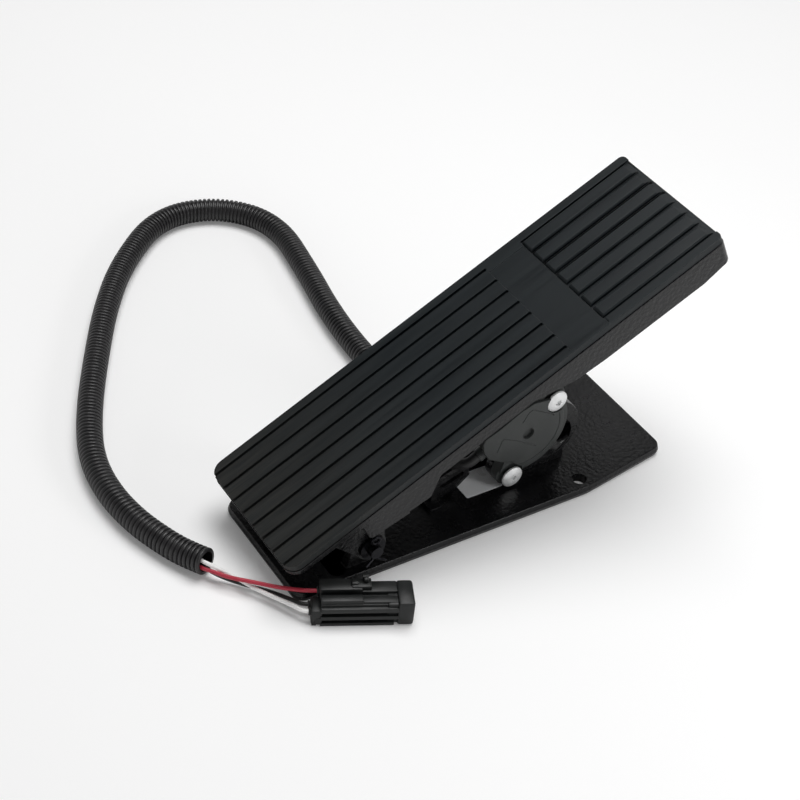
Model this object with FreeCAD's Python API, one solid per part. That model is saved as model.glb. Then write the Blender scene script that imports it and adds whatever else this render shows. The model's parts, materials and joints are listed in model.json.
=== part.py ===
import FreeCAD, Part
import math
import os

V = FreeCAD.Vector

# Floor mounted electronic accelerator pedal: a cast base with a hinged treadle, a contactless angle
# sensor turned by a sprung lever with a roller, and a sheathed lead with a three way connector.
# Frame: +X towards the sensor side, +Y towards the toe end, +Z up. The origin is the centre of the
# four mounting holes, on the underside of the base. All sizes are in millimetres.

# Base plate
base_thick = 6.5
base_half_width = 43.8
base_heel_y = -116.0
base_toe_y = 152.5
base_kink_y = 87.0
near_toe_x = 33.5
far_toe_x = -61.4
base_corner_r = 8.0
base_edge_draft = 1.0
mount_pitch_x = 69.8
mount_pitch_y = 171.4
mount_hole_r = 4.5

# Hinge
hinge_y = -67.6
hinge_z = 22.2
pin_r = 4.0
lug_x = 31.0
lug_thick = 5.6
lug_r = 9.0
lug_foot = 13.0
running_gap = 0.05
side_gap = 0.6
ear_thick = 4.0
ear_r = 9.5
bush_wall = 1.5
pin_reach = 47.2
pin_head_r = 6.5
pin_head_thick = 2.8
washer_r = 8.0
washer_thick = 1.3
cotter_r = 1.1

# Treadle, in its own frame: x across, s along it from the heel edge, h square to it
tilt = 27.83
treadle_y = -124.3
treadle_z = 30.5
treadle_length = 306.3
treadle_half_width = 46.9
treadle_heel_r = 9.0
treadle_toe_r = 4.0
deck_top = -3.0
deck_thick = 3.5
skirt_thick = 3.2
rib_x = 30.0
rib_thick = 2.6
rib_depth = 5.0

# Rubber pad on the treadle
pad_inset = 0.6
pad_top = 1.7
groove_pitch = 11.4
groove_width = 2.0
groove_depth = 2.0
groove_end = 198.0
patch_end = 224.0
patch_low_x = -36.7
patch_high_x = 44.5
patch_drop = 0.6
toe_field_half = 40.6
toe_field_top = 0.1
toe_rib_pitch = 11.5
toe_rib_width = 9.3
toe_rib_top = 2.5
toe_rib_slope = 5.0

# Lever, roller and their stops
travel = 12.0
lever_ratio = 2.9
shaft_y = 48.6
shaft_z = 47.9
shaft_r = 5.0
lever_length = 70.0
lever_x = -12.0
lever_thick = 8.0
hub_r = 9.5
arm_half = 6.0
fork_half = 6.5
fork_wall = 3.0
roller_r = 9.0
roller_width = 6.4
roller_side_gap = 0.4
roller_pin_r = 2.5
clip_thick = 1.0
clip_r = 5.0
clip_setback = 0.6
tang_half = 2.6
tang_length = 3.4
roll_pin_r = 1.5
wear_face = -12.25
wear_rest_gap = 0.72
wear_behind = 12.0
wear_ahead = 28.0
wear_half = 9.0
wear_thick = 1.5
wear_screw_r = 2.0
stop_radius = 26.0
stop_r = 3.0
stop_gap = 0.3

# Springs on the lever shaft
spring_wire_r = 0.9
spring_r = 7.0
spring_pitch = 2.0
spring_leg = 15.0
spring_end_gap = 0.35

# Pedestal
cheek_near_x = 8.0
cheek_far_x = -26.0
cheek_thick = 6.0
cheek_head_r = 13.0
foot_y0 = 44.0
foot_y1 = 88.0
foot_thick = 5.0
foot_screw_inset = 8.0
flange_far_x = -40.0
flange_y1 = 74.0
ring_y = 68.0
ring_z = 37.5
ring_r = 22.5
ring_x = 19.0
ring_hole_y = 72.0
ring_hole_z = 32.0
ring_hole_r = 14.0
shaft_bush_r = 7.0
shaft_bush_flange_r = 9.0
shaft_bush_flange = 1.0
screw_r = 3.0
screw_clear = 0.3
screw_head_r = 5.0
screw_head_h = 6.0
screw_bite = 5.0

# Sensor
sensor_x = 14.0
sensor_thick = 8.0
sensor_r = 29.3
cap_inset = 4.8
cap_thick = 2.2
sensor_ear_r = 8.6
sensor_ear_drop = 2.0
screw_a = (65.6, 66.7)
screw_b = (41.4, 17.2)
sensor_flange_r = 7.0
sensor_flange_thick = 1.3
sensor_head_r = 5.4
sensor_head_h = 4.6
rotor_r = 10.0
rotor_thick = 3.6
rotor_gap = 0.6
seat_gap = 0.3

# Cable guide, label and lead
guide_x = 13.5
guide_thick = 3.0
label_thick = 0.3
lead_r = 3.25
conduit_r = 8.0
conduit_bore_r = 6.0
clip_x = -36.0
clip_width = 8.0
liner_wall = 1.6
band_wall = 1.1
cord_gap = 0.3
conduit_y = 30.0
conduit_z = base_thick + conduit_r + cord_gap + liner_wall + band_wall
wire_r = 1.2

# Connector
connector_x = 53.8
connector_y = -112.3
connector_turn = 65.9
connector_length = 56.0
connector_half = 10.5
connector_h = 15.0
connector_rear = 6.0
way_pitch = 6.2
way_z = 6.5
red_way_z = 9.5
socket_depth = 15.0
socket_wall = 2.6

# Sizes worked out from the ones above
ear_x = lug_x + lug_thick + side_gap
deck_low = deck_top - deck_thick
shaft_far_x = cheek_far_x - 3.0
cheek_inner_far = cheek_far_x + cheek_thick
lever_mid_x = lever_x + lever_thick / 2
sensor_face_x = sensor_x + sensor_thick


def box(x0, x1, y0, y1, z0, z1):
    return Part.makeBox(x1 - x0, y1 - y0, z1 - z0, V(x0, y0, z0))


def cyl_x(y, z, r, x0, x1):
    return Part.makeCylinder(r, x1 - x0, V(x0, y, z), V(1, 0, 0))


def cyl_z(x, y, r, z0, z1):
    return Part.makeCylinder(r, z1 - z0, V(x, y, z0), V(0, 0, 1))


def fuse(shapes):
    return shapes[0].multiFuse(shapes[1:]).removeSplitter()


def rounded_wire(points, radii):
    """Closed wire through the points, each corner rounded by an arc of its radius."""
    starts, ends, middles = [], [], []
    count = len(points)
    for i in range(count):
        p = points[i]
        to_last = (points[i - 1] - p).normalize()
        to_next = (points[(i + 1) % count] - p).normalize()
        half = to_last.getAngle(to_next) / 2
        if radii[i] == 0:
            starts.append(p)
            ends.append(p)
            middles.append(None)
            continue
        cut = radii[i] / math.tan(half)
        bisector = (to_last + to_next).normalize()
        centre = p + bisector * (radii[i] / math.sin(half))
        starts.append(p + to_last * cut)
        ends.append(p + to_next * cut)
        middles.append(centre - bisector * radii[i])
    edges = []
    for i in range(count):
        if middles[i] is not None:
            edges.append(Part.Arc(starts[i], middles[i], ends[i]).toShape())
        edges.append(Part.LineSegment(ends[i], starts[(i + 1) % count]).toShape())
    return Part.Wire(edges)


def plate_x(points, radii, x0, x1):
    """Plate in the YZ plane from (y, z) points, from x0 to x1."""
    wire = rounded_wire([V(x0, y, z) for y, z in points], radii)
    return Part.Face(wire).extrude(V(x1 - x0, 0, 0))


def plate_z(points, radii, z0, z1):
    """Plate in the XY plane from (x, y) points, from z0 to z1."""
    wire = rounded_wire([V(x, y, z0) for x, y in points], radii)
    return Part.Face(wire).extrude(V(0, 0, z1 - z0))


def link_x(circle_a, circle_b, x0, x1):
    """Plate that wraps two circles (y, z, r) with their outer tangents."""
    ya, za, ra = circle_a
    yb, zb, rb = circle_b
    gap = math.hypot(yb - ya, zb - za)
    along = math.atan2(zb - za, yb - ya)
    lean = math.acos((ra - rb) / gap)
    corners = []
    for side in (1, -1):
        turn = along + side * lean
        corners.append((ya + ra * math.cos(turn), za + ra * math.sin(turn)))
        corners.append((yb + rb * math.cos(turn), zb + rb * math.sin(turn)))
    quad = [corners[0], corners[1], corners[3], corners[2]]
    web = Part.Face(Part.makePolygon([V(x0, y, z) for y, z in quad + quad[:1]])).extrude(V(x1 - x0, 0, 0))
    return fuse([web, cyl_x(ya, za, ra, x0, x1), cyl_x(yb, zb, rb, x0, x1)])


def on_treadle(shape):
    """Move a shape from the treadle's own frame to its place."""
    placed = shape.copy()
    turn = FreeCAD.Rotation(V(1, 0, 0), tilt)
    placed.Placement = FreeCAD.Placement(V(0, treadle_y, treadle_z), turn).multiply(placed.Placement)
    return placed


def at_connector(shape):
    """Move a shape from the connector's own frame (length, across, up) to its place."""
    placed = shape.copy()
    turn = FreeCAD.Rotation(V(0, 0, 1), connector_turn)
    placed.Placement = FreeCAD.Placement(V(connector_x, connector_y, 0), turn).multiply(placed.Placement)
    return placed


def treadle_point(y, z):
    """The treadle's own (s, h) of a point (y, z)."""
    a = math.radians(tilt)
    dy, dz = y - treadle_y, z - treadle_z
    return dy * math.cos(a) + dz * math.sin(a), dz * math.cos(a) - dy * math.sin(a)


def hinge_on_treadle():
    return treadle_point(hinge_y, hinge_z)


def roller_rest():
    """The treadle's own (s, h) of the roller's centre at rest, just under the wear face."""
    shaft_s, shaft_h = treadle_point(shaft_y, shaft_z)
    h = wear_face - wear_rest_gap - roller_r
    return shaft_s + math.sqrt(lever_length ** 2 - (h - shaft_h) ** 2), h


def lever_rest():
    """Angle of the lever above the floor at rest, in degrees."""
    shaft_s, shaft_h = treadle_point(shaft_y, shaft_z)
    s, h = roller_rest()
    return tilt + math.degrees(math.atan2(h - shaft_h, s - shaft_s))


def on_lever(along, aside, turned=0.0):
    """Point (y, z) at a distance along the lever and to its toe side, with the lever turned down."""
    a = math.radians(lever_rest() - turned)
    y = shaft_y + along * math.cos(a) + aside * math.sin(a)
    z = shaft_z + along * math.sin(a) - aside * math.cos(a)
    return y, z


def stop_points():
    """Centres of the idle and the full travel stop pins."""
    offset = arm_half + stop_r + stop_gap
    return on_lever(stop_radius, -offset), on_lever(stop_radius, offset, travel * lever_ratio)


def wear_ends():
    s = roller_rest()[0]
    return s - wear_behind, s + wear_ahead


# Base

def base_outline(z, inset):
    points = [
        V(-base_half_width + inset, base_heel_y + inset, z),
        V(base_half_width - inset, base_heel_y + inset, z),
        V(base_half_width - inset, base_kink_y, z),
        V(near_toe_x - inset, base_toe_y - inset, z),
        V(far_toe_x + inset, base_toe_y - inset, z),
        V(-base_half_width + inset, base_kink_y, z),
    ]
    r = base_corner_r - inset
    return rounded_wire(points, [r, r, 30.0, r, r, 30.0])


def base_lug(side):
    x0 = lug_x if side > 0 else -lug_x - lug_thick
    foot = [
        (hinge_y - lug_foot, base_thick - 1), (hinge_y + lug_foot, base_thick - 1),
        (hinge_y + lug_r, hinge_z), (hinge_y - lug_r, hinge_z),
    ]
    web = plate_x(foot, [0, 0, 0, 0], x0, x0 + lug_thick)
    return web.fuse(cyl_x(hinge_y, hinge_z, lug_r, x0, x0 + lug_thick))


def mount_centres():
    return [(sx * mount_pitch_x / 2, sy * mount_pitch_y / 2) for sx in (-1, 1) for sy in (-1, 1)]


def base_plate():
    low = base_outline(0, base_edge_draft)
    middle = base_outline(base_thick / 2, 0)
    high = base_outline(base_thick, base_edge_draft)
    body = fuse([Part.makeLoft([low, middle], True, True), Part.makeLoft([middle, high], True, True)])
    body = fuse([body, base_lug(1), base_lug(-1)])
    cuts = [cyl_z(x, y, mount_hole_r, -1, base_thick + 1) for x, y in mount_centres()]
    cuts.append(cyl_x(hinge_y, hinge_z, pin_r, -pin_reach, pin_reach))
    for x, y in pedestal_screw_centres() + [guide_screw(), clip_screw()]:
        cuts.append(cyl_z(x, y, screw_r, base_thick - screw_bite, base_thick + 1))
    return body.cut(fuse(cuts))


def hinge_pin():
    head_x = -ear_x - ear_thick - washer_thick - side_gap
    pin = cyl_x(hinge_y, hinge_z, pin_r, head_x, pin_reach)
    head = cyl_x(hinge_y, hinge_z, pin_head_r, head_x - pin_head_thick, head_x)
    pin = fuse([pin, head])
    tip = Part.makeCone(pin_r + 1, pin_r - 1, 2, V(pin_reach - 1, hinge_y, hinge_z), V(1, 0, 0))
    pin = pin.cut(cyl_x(hinge_y, hinge_z, pin_r + 1, pin_reach - 1, pin_reach + 1).cut(tip))
    return pin.cut(cotter_hole())


def cotter_x():
    return ear_x + ear_thick + side_gap + washer_thick + cotter_r + 0.2


def cotter_hole():
    return Part.makeCylinder(cotter_r, 4 * pin_r, V(cotter_x(), hinge_y, hinge_z - 2 * pin_r))


def cotter_pin():
    x = cotter_x()
    leg = cotter_r - 0.1
    stem = Part.makeCylinder(leg, 2 * pin_r + 3, V(x, hinge_y, hinge_z - pin_r - 1.5))
    eye = Part.makeTorus(2.4, leg, V(x, hinge_y, hinge_z + pin_r + 3.6), V(1, 0, 0))
    tip = V(x, hinge_y, hinge_z - pin_r - 1.5)
    tails = []
    for side in (-1, 1):
        away = V(0.35, side * 0.9, -0.35)
        tails.append(Part.makeCylinder(leg * 0.8, 7.5, tip, away))
    return fuse([stem, eye, Part.makeSphere(leg, tip)] + tails)


def hinge_washers():
    near = ear_x + ear_thick + side_gap / 2
    rings = []
    for x0 in (near, -near - washer_thick):
        ring = cyl_x(hinge_y, hinge_z, washer_r, x0, x0 + washer_thick)
        rings.append(ring.cut(cyl_x(hinge_y, hinge_z, pin_r, x0 - 1, x0 + washer_thick + 1)))
    return Part.makeCompound(rings)


# Treadle

def treadle_outline(h, inset):
    w = treadle_half_width - inset
    points = [V(-w, inset, h), V(w, inset, h), V(w, treadle_length - inset, h), V(-w, treadle_length - inset, h)]
    heel, toe = treadle_heel_r - inset, max(treadle_toe_r - inset, 1.0)
    return rounded_wire(points, [heel, heel, toe, toe])


def below_skirts():
    """Everything under the wavy lower edge of the side skirts."""
    edge = [
        (47.5, -5.0), (47.5, -20.0), (66.6, -22.2), (91.0, -25.5), (114.8, -15.8), (129.5, -12.0),
        (166.0, -12.0), (193.7, -20.5), (214.0, -22.0), (286.0, -22.8), (302.6, -20.0),
    ]
    points = [(-5.0, deck_low)] + [(s, h) if h != -5.0 else (s, deck_low) for s, h in edge]
    points += [(treadle_length + 5, -18.0), (treadle_length + 5, -60.0), (-5.0, -60.0)]
    radii = [0, 2, 3, 0, 3, 10, 10, 10, 10, 0, 0, 0, 0, 0, 0]
    return plate_x(points, radii, -60, 60)


def treadle_ear(side):
    s, h = hinge_on_treadle()
    x0 = ear_x if side > 0 else -ear_x - ear_thick
    reach = 20.0
    web = [(s - reach, deck_low + 1), (s - ear_r, h), (s + ear_r, h), (s + reach, deck_low + 1)]
    plate = plate_x(web, [0, 0, 0, 0], x0, x0 + ear_thick)
    return plate.fuse(cyl_x(s, h, ear_r, x0, x0 + ear_thick))


def treadle():
    depth = -24.0
    shell = Part.Face(treadle_outline(depth, 0)).extrude(V(0, 0, deck_top - depth))
    hollow_w = treadle_half_width - skirt_thick
    hollow = box(-hollow_w, hollow_w, -5, treadle_length - skirt_thick, depth - 1, deck_low)
    shell = shell.cut(hollow).cut(below_skirts())
    ribs = [
        box(side * rib_x - rib_thick / 2, side * rib_x + rib_thick / 2, 70, treadle_length - 1,
            deck_low - rib_depth, deck_low + 0.5)
        for side in (-1, 1)
    ]
    cross = [
        box(-hollow_w - 1, hollow_w + 1, s, s + rib_thick, deck_low - rib_depth, deck_low + 0.5)
        for s in (182.0, 250.0)
    ]
    boss_low = wear_face + wear_thick
    wear_s0, wear_s1 = wear_ends()
    boss = box(lever_mid_x - wear_half, lever_mid_x + wear_half, wear_s0, wear_s1, boss_low, deck_low + 0.5)
    body = fuse([shell, treadle_ear(1), treadle_ear(-1), boss] + ribs + cross)
    s, h = hinge_on_treadle()
    cuts = [cyl_x(s, h, pin_r + running_gap + bush_wall, -60, 60)]
    cuts += [cyl_z(lever_mid_x, at, wear_screw_r, boss_low - 1, boss_low + 4) for at in wear_screw_places()]
    return on_treadle(body.cut(fuse(cuts)))


def hinge_bushings():
    bushes = []
    for x0 in (ear_x, -ear_x - ear_thick):
        outer = cyl_x(hinge_y, hinge_z, pin_r + running_gap + bush_wall, x0, x0 + ear_thick)
        bushes.append(outer.cut(cyl_x(hinge_y, hinge_z, pin_r + running_gap, x0 - 1, x0 + ear_thick + 1)))
    return Part.makeCompound(bushes)


def wear_screw_places():
    s0, s1 = wear_ends()
    inset = 2.25 * wear_screw_r
    return s0 + inset, s1 - inset


def wear_plate():
    s0, s1 = wear_ends()
    plate = box(lever_mid_x - wear_half, lever_mid_x + wear_half, s0, s1, wear_face, wear_face + wear_thick)
    holes = [cyl_z(lever_mid_x, at, wear_screw_r, wear_face - 1, wear_face + 3) for at in wear_screw_places()]
    return on_treadle(plate.cut(fuse(holes)))


def wear_screws():
    places = wear_screw_places()
    return on_treadle(Part.makeCompound([
        cyl_z(lever_mid_x, at, wear_screw_r, wear_face, wear_face + wear_thick + 3.5) for at in places
    ]))


def toe_rib(x):
    low, high = toe_field_top - 0.2, toe_rib_top
    start, stop = patch_end, treadle_length - pad_inset - 0.8
    side = [(start, low), (start + 1.5, high), (stop - toe_rib_slope, high), (stop, low)]
    half = toe_rib_width / 2
    rib = plate_x(side, [0, 0, 0, 0], x - half, x + half)
    shoulder = 0.9
    top_edges = [e for e in rib.Edges if abs(e.BoundBox.ZMin - high) < 1e-4
                 and e.BoundBox.YLength > toe_rib_slope]
    return rib.makeChamfer(shoulder, top_edges)


def treadle_pad():
    pad = Part.Face(treadle_outline(deck_top, pad_inset)).extrude(V(0, 0, pad_top - deck_top))
    cuts = []
    for i in range(4):
        for side in (-1, 1):
            x = side * (i + 0.5) * groove_pitch
            cuts.append(box(x - groove_width / 2, x + groove_width / 2, -5, groove_end,
                            pad_top - groove_depth, pad_top + 1))
    cuts.append(box(patch_low_x, patch_high_x, groove_end, patch_end + 1, pad_top - patch_drop, pad_top + 1))
    cuts.append(box(-toe_field_half, toe_field_half, patch_end, treadle_length + 1, toe_field_top, pad_top + 1))
    pad = pad.cut(fuse(cuts))
    ribs = [toe_rib(i * toe_rib_pitch) for i in range(-3, 4)]
    return on_treadle(fuse([pad] + ribs))


# Lever

def lever_arm():
    tip = on_lever(lever_length, 0)
    x0, x1 = lever_x, lever_x + lever_thick
    fork_x0 = lever_mid_x - roller_width / 2 - roller_side_gap - fork_wall
    fork_x1 = lever_mid_x + roller_width / 2 + roller_side_gap + fork_wall
    web = link_x((shaft_y, shaft_z, arm_half), (tip[0], tip[1], arm_half), x0, x1)
    hub = cyl_x(shaft_y, shaft_z, hub_r, x0, x1)
    knee = on_lever(lever_length - roller_r - 6.0, 0)
    fork = link_x((knee[0], knee[1], arm_half), (tip[0], tip[1], fork_half), fork_x0, fork_x1)
    body = fuse([web, hub, fork])
    slot = cyl_x(tip[0], tip[1], roller_r + 1.5, fork_x0 + fork_wall, fork_x1 - fork_wall)
    cuts = [
        slot,
        cyl_x(tip[0], tip[1], roller_pin_r, fork_x0 - 1, fork_x1 + 1),
        cyl_x(shaft_y, shaft_z, shaft_r, x0 - 1, x1 + 1),
        roll_pin_shape(),
    ]
    return body.cut(fuse(cuts))


def roll_pin_shape():
    a = math.radians(lever_rest() - 90)
    away = V(0, math.cos(a), math.sin(a))
    start = V(lever_mid_x, shaft_y, shaft_z) - away * (hub_r - 0.4)
    return Part.makeCylinder(roll_pin_r, 2 * (hub_r - 0.4), start, away)


def lever_shaft():
    shaft = cyl_x(shaft_y, shaft_z, shaft_r, shaft_far_x, sensor_x + rotor_gap)
    square = box(sensor_x, sensor_x + rotor_gap + tang_length, shaft_y - tang_half, shaft_y + tang_half,
                 shaft_z - tang_half, shaft_z + tang_half)
    groove = cyl_x(shaft_y, shaft_z, shaft_r + 1, shaft_far_x + 1, shaft_far_x + 1 + clip_thick)
    groove = groove.cut(cyl_x(shaft_y, shaft_z, shaft_r - 1, shaft_far_x, shaft_far_x + 3))
    return fuse([shaft, square]).cut(fuse([groove, roll_pin_shape()]))


def open_ring(y, z, r_in, r_out, x0, x1, mouth):
    ring = cyl_x(y, z, r_out, x0, x1).cut(cyl_x(y, z, r_in, x0 - 1, x1 + 1))
    return ring.cut(box(x0 - 1, x1 + 1, y - mouth / 2, y + mouth / 2, z - r_out - 1, z))


def shaft_clip():
    x0 = shaft_far_x + 1
    return open_ring(shaft_y, shaft_z, shaft_r - 1, shaft_r + 3, x0, x0 + clip_thick, shaft_r)


def roller_pin():
    tip = on_lever(lever_length, 0)
    reach = roller_width / 2 + roller_side_gap + fork_wall + clip_thick + clip_setback + 1.0
    pin = cyl_x(tip[0], tip[1], roller_pin_r, lever_mid_x - reach, lever_mid_x + reach)
    rings = []
    for side in (-1, 1):
        centre = lever_mid_x + side * (reach - 1.0 - clip_thick / 2)
        ring = cyl_x(tip[0], tip[1], roller_pin_r + 1, centre - clip_thick / 2, centre + clip_thick / 2)
        rings.append(ring.cut(cyl_x(tip[0], tip[1], roller_pin_r - 0.6, centre - 1, centre + 1)))
    return pin.cut(fuse(rings))


def roller_clips():
    tip = on_lever(lever_length, 0)
    reach = roller_width / 2 + roller_side_gap + fork_wall + clip_thick + clip_setback
    clips = []
    for side in (-1, 1):
        centre = lever_mid_x + side * (reach - clip_thick / 2)
        clips.append(open_ring(tip[0], tip[1], roller_pin_r - 0.6, clip_r, centre - clip_thick / 2,
                               centre + clip_thick / 2, roller_pin_r))
    return Part.makeCompound(clips)


def roller():
    tip = on_lever(lever_length, 0)
    x0 = lever_mid_x - roller_width / 2
    profile = [
        (roller_pin_r + running_gap, 0), (roller_r - 0.8, 0), (roller_r, 0.8),
        (roller_r, roller_width - 0.8), (roller_r - 0.8, roller_width), (roller_pin_r + running_gap, roller_width),
    ]
    wire = Part.makePolygon([V(x0 + x, tip[0] + r, tip[1]) for r, x in profile + profile[:1]])
    return Part.Face(wire).revolve(V(x0, tip[0], tip[1]), V(1, 0, 0), 360)


def lever_roll_pin():
    return roll_pin_shape()


def torsion_spring(x0, x1, start_angle, start_leg, end_leg):
    """Coil along X from x0 to x1 round the shaft, with a straight leg at each end."""
    height = x1 - x0 - 2 * spring_wire_r
    helix = Part.makeHelix(spring_pitch, height, spring_r)
    profile = Part.Wire(Part.Circle(V(spring_r, 0, 0), V(0, 1, 0), spring_wire_r).toShape())
    coil = Part.Wire(helix.Edges).makePipeShell([profile], True, True)
    leg_a = Part.makeCylinder(spring_wire_r, start_leg, V(spring_r, 0, 0), V(0, -1, 0))
    turn = 2 * math.pi * height / spring_pitch
    end = V(spring_r * math.cos(turn), spring_r * math.sin(turn), height)
    ahead = V(-math.sin(turn), math.cos(turn), 0)
    leg_b = Part.makeCylinder(spring_wire_r, end_leg, end, ahead)
    spring = fuse([coil, leg_a, leg_b])
    spring.rotate(V(0, 0, 0), V(0, 0, 1), start_angle)
    spring.rotate(V(0, 0, 0), V(0, 1, 0), 90)
    spring.translate(V(x0 + spring_wire_r, shaft_y, shaft_z))
    return spring


def far_spring():
    x0 = cheek_inner_far + shaft_bush_flange + spring_end_gap
    return torsion_spring(x0, lever_x - spring_end_gap, 20.0, spring_leg, spring_leg)


def near_spring():
    x1 = cheek_near_x - shaft_bush_flange - spring_end_gap
    return torsion_spring(lever_x + lever_thick + spring_end_gap, x1, 200.0, spring_leg, spring_leg)


# Pedestal

def pedestal_screw_centres():
    far_x = (flange_far_x + cheek_far_x) / 2
    y0 = foot_y0 + foot_screw_inset
    return [(far_x, y0), (far_x, flange_y1 - foot_screw_inset), (lever_mid_x, y0),
            (lever_mid_x, foot_y1 - foot_screw_inset)]


def stop_boss(point, x0):
    return link_x((shaft_y, shaft_z, cheek_head_r), (point[0], point[1], stop_r + 3.5), x0, x0 + cheek_thick)


def far_cheek():
    x0 = cheek_far_x
    idle, full = stop_points()
    top = base_thick + foot_thick - 1
    web = [(foot_y0, top), (foot_y1, top), (shaft_y + 24, shaft_z - 2), (shaft_y - 12, shaft_z)]
    return fuse([
        plate_x(web, [0, 0, 0, 0], x0, x0 + cheek_thick),
        stop_boss(idle, x0),
        stop_boss(full, x0),
    ])


def near_cheek():
    x0, x1 = cheek_near_x, cheek_near_x + cheek_thick
    idle, full = stop_points()
    top = base_thick + foot_thick - 1
    web = [(foot_y0 - 2, top), (foot_y1, top), (shaft_y + 30, shaft_z), (shaft_y - 23, shaft_z), (24.0, 39.0)]
    parts = [
        plate_x(web, [0, 0, 4, 4, 4], x0, x1),
        cyl_x(shaft_y, shaft_z, sensor_r - 4, x0, x1),
        stop_boss(idle, x0),
        stop_boss(full, x0),
    ]
    for y, z in (screw_a, screw_b):
        parts.append(cyl_x(y, z, sensor_ear_r, x0, x1))
    return fuse(parts)


def ring_lug():
    lug = cyl_x(ring_y, ring_z, ring_r, cheek_near_x, ring_x)
    return lug.cut(cyl_x(ring_hole_y, ring_hole_z, ring_hole_r, cheek_near_x + 2.5, ring_x + 1))


def pedestal():
    foot = [
        (flange_far_x, foot_y0), (cheek_near_x + cheek_thick, foot_y0), (cheek_near_x + cheek_thick, foot_y1),
        (cheek_far_x, foot_y1), (cheek_far_x, flange_y1), (flange_far_x, flange_y1),
    ]
    plate = plate_z(foot, [5, 0, 0, 0, 0, 5], base_thick, base_thick + foot_thick)
    body = fuse([plate, far_cheek(), near_cheek(), ring_lug()])
    cuts = [
        cyl_x(shaft_y, shaft_z, shaft_bush_r, -60, 60),
        sensor_outline_solid(seat_gap, sensor_x, 60),
        box(-60, 60, -60, 120, -5, base_thick),
    ]
    for y, z in stop_points():
        cuts.append(cyl_x(y, z, stop_r, cheek_far_x - 1, sensor_x + 1))
    for y, z in (screw_a, screw_b):
        cuts.append(cyl_x(y, z, screw_r, cheek_near_x - 1, sensor_x + 1))
    for x, y in pedestal_screw_centres():
        cuts.append(cyl_z(x, y, screw_r + screw_clear, 0, base_thick + foot_thick + 1))
    return body.cut(fuse(cuts))


def stop_pins():
    return Part.makeCompound([
        cyl_x(y, z, stop_r, cheek_far_x, cheek_near_x + cheek_thick) for y, z in stop_points()
    ])


def shaft_bushings():
    bushes = []
    near = (cheek_near_x, cheek_near_x + cheek_thick, cheek_near_x - shaft_bush_flange, cheek_near_x)
    far = (cheek_far_x, cheek_inner_far, cheek_inner_far, cheek_inner_far + shaft_bush_flange)
    for x0, x1, flange0, flange1 in (near, far):
        sleeve = cyl_x(shaft_y, shaft_z, shaft_bush_r, x0, x1)
        flange = cyl_x(shaft_y, shaft_z, shaft_bush_flange_r, flange0, flange1)
        bore = cyl_x(shaft_y, shaft_z, shaft_r + running_gap, min(x0, flange0) - 1, max(x1, flange1) + 1)
        bushes.append(fuse([sleeve, flange]).cut(bore))
    return Part.makeCompound(bushes)


def cap_screw(x, y, seat):
    """Socket head screw standing on a seat, with a hexagon recess."""
    head = cyl_z(x, y, screw_head_r, seat, seat + screw_head_h)
    head = head.makeChamfer(0.6, [e for e in head.Edges if e.BoundBox.ZMin > seat + screw_head_h - 0.1])
    shank = cyl_z(x, y, screw_r, base_thick - screw_bite, seat)
    corners = [(x + 2.9 * math.cos(i * math.pi / 3), y + 2.9 * math.sin(i * math.pi / 3)) for i in range(6)]
    socket = plate_z(corners, [0] * 6, seat + screw_head_h - 3, seat + screw_head_h + 1)
    return fuse([head, shank]).cut(socket)


def pedestal_screws():
    seat = base_thick + foot_thick
    return Part.makeCompound([cap_screw(x, y, seat) for x, y in pedestal_screw_centres()])


# Sensor

def sensor_profile(x, inset):
    """Sensor outline in the YZ plane at x: a disc with a chamfered heel side and a notch below."""
    r = sensor_r - inset
    low = math.radians(-92)
    high = math.radians(110)
    tops = [(shaft_y + r * math.cos(a), shaft_z + r * math.sin(a)) for a in (low, 0, high)]
    arc = Part.Arc(*[V(x, y, z) for y, z in tops]).toShape()
    corners = [tops[2], (20.5 + inset, 64.0 - inset), (16.8 + inset, 51.5), (19.0 + inset, 44.0),
               (27.5 + inset, 33.5 + inset), (40.8, 28.6 + inset), tops[0]]
    lines = [Part.LineSegment(V(x, *corners[i]), V(x, *corners[i + 1])).toShape() for i in range(6)]
    return Part.Wire([arc] + lines)


def sensor_outline_solid(gap, x0, x1):
    body = Part.Face(sensor_profile(x0, -gap)).extrude(V(x1 - x0, 0, 0))
    ears = [link_x((shaft_y, shaft_z, sensor_ear_r + gap), (y, z, sensor_ear_r + gap), x0, x1)
            for y, z in (screw_a, screw_b)]
    return fuse([body] + ears)


def ear_seat_x():
    return sensor_face_x - sensor_ear_drop


def lead_exit():
    """Where the lead leaves the sensor, and the way it points."""
    return V(sensor_x + sensor_thick / 2, 17.5, 38.0), V(0, -0.87, -0.49).normalize()


def sensor_body():
    body = sensor_outline_solid(0, sensor_x, sensor_face_x)
    exit_point, way = lead_exit()
    gland = Part.makeCylinder(4.0, 9.0, exit_point - way * 9.0, way)
    body = fuse([body, gland])
    cuts = [cyl_x(shaft_y, shaft_z, rotor_r + rotor_gap, sensor_x - 1, sensor_x + rotor_thick + 2 * rotor_gap)]
    for y, z in (screw_a, screw_b):
        cuts.append(cyl_x(y, z, sensor_ear_r + 0.2, ear_seat_x(), sensor_face_x + 1))
        cuts.append(cyl_x(y, z, screw_r + screw_clear, sensor_x - 1, sensor_face_x + 1))
    return body.cut(fuse(cuts))


def panel(y, z, length, width, depth):
    """Shallow slanted recess in the cap's face."""
    x = sensor_face_x + cap_thick
    recess = box(x - depth, x + 1, -length / 2, length / 2, -width / 2, width / 2)
    recess.rotate(V(0, 0, 0), V(1, 0, 0), -32)
    recess.translate(V(0, y, z))
    return recess


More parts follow.
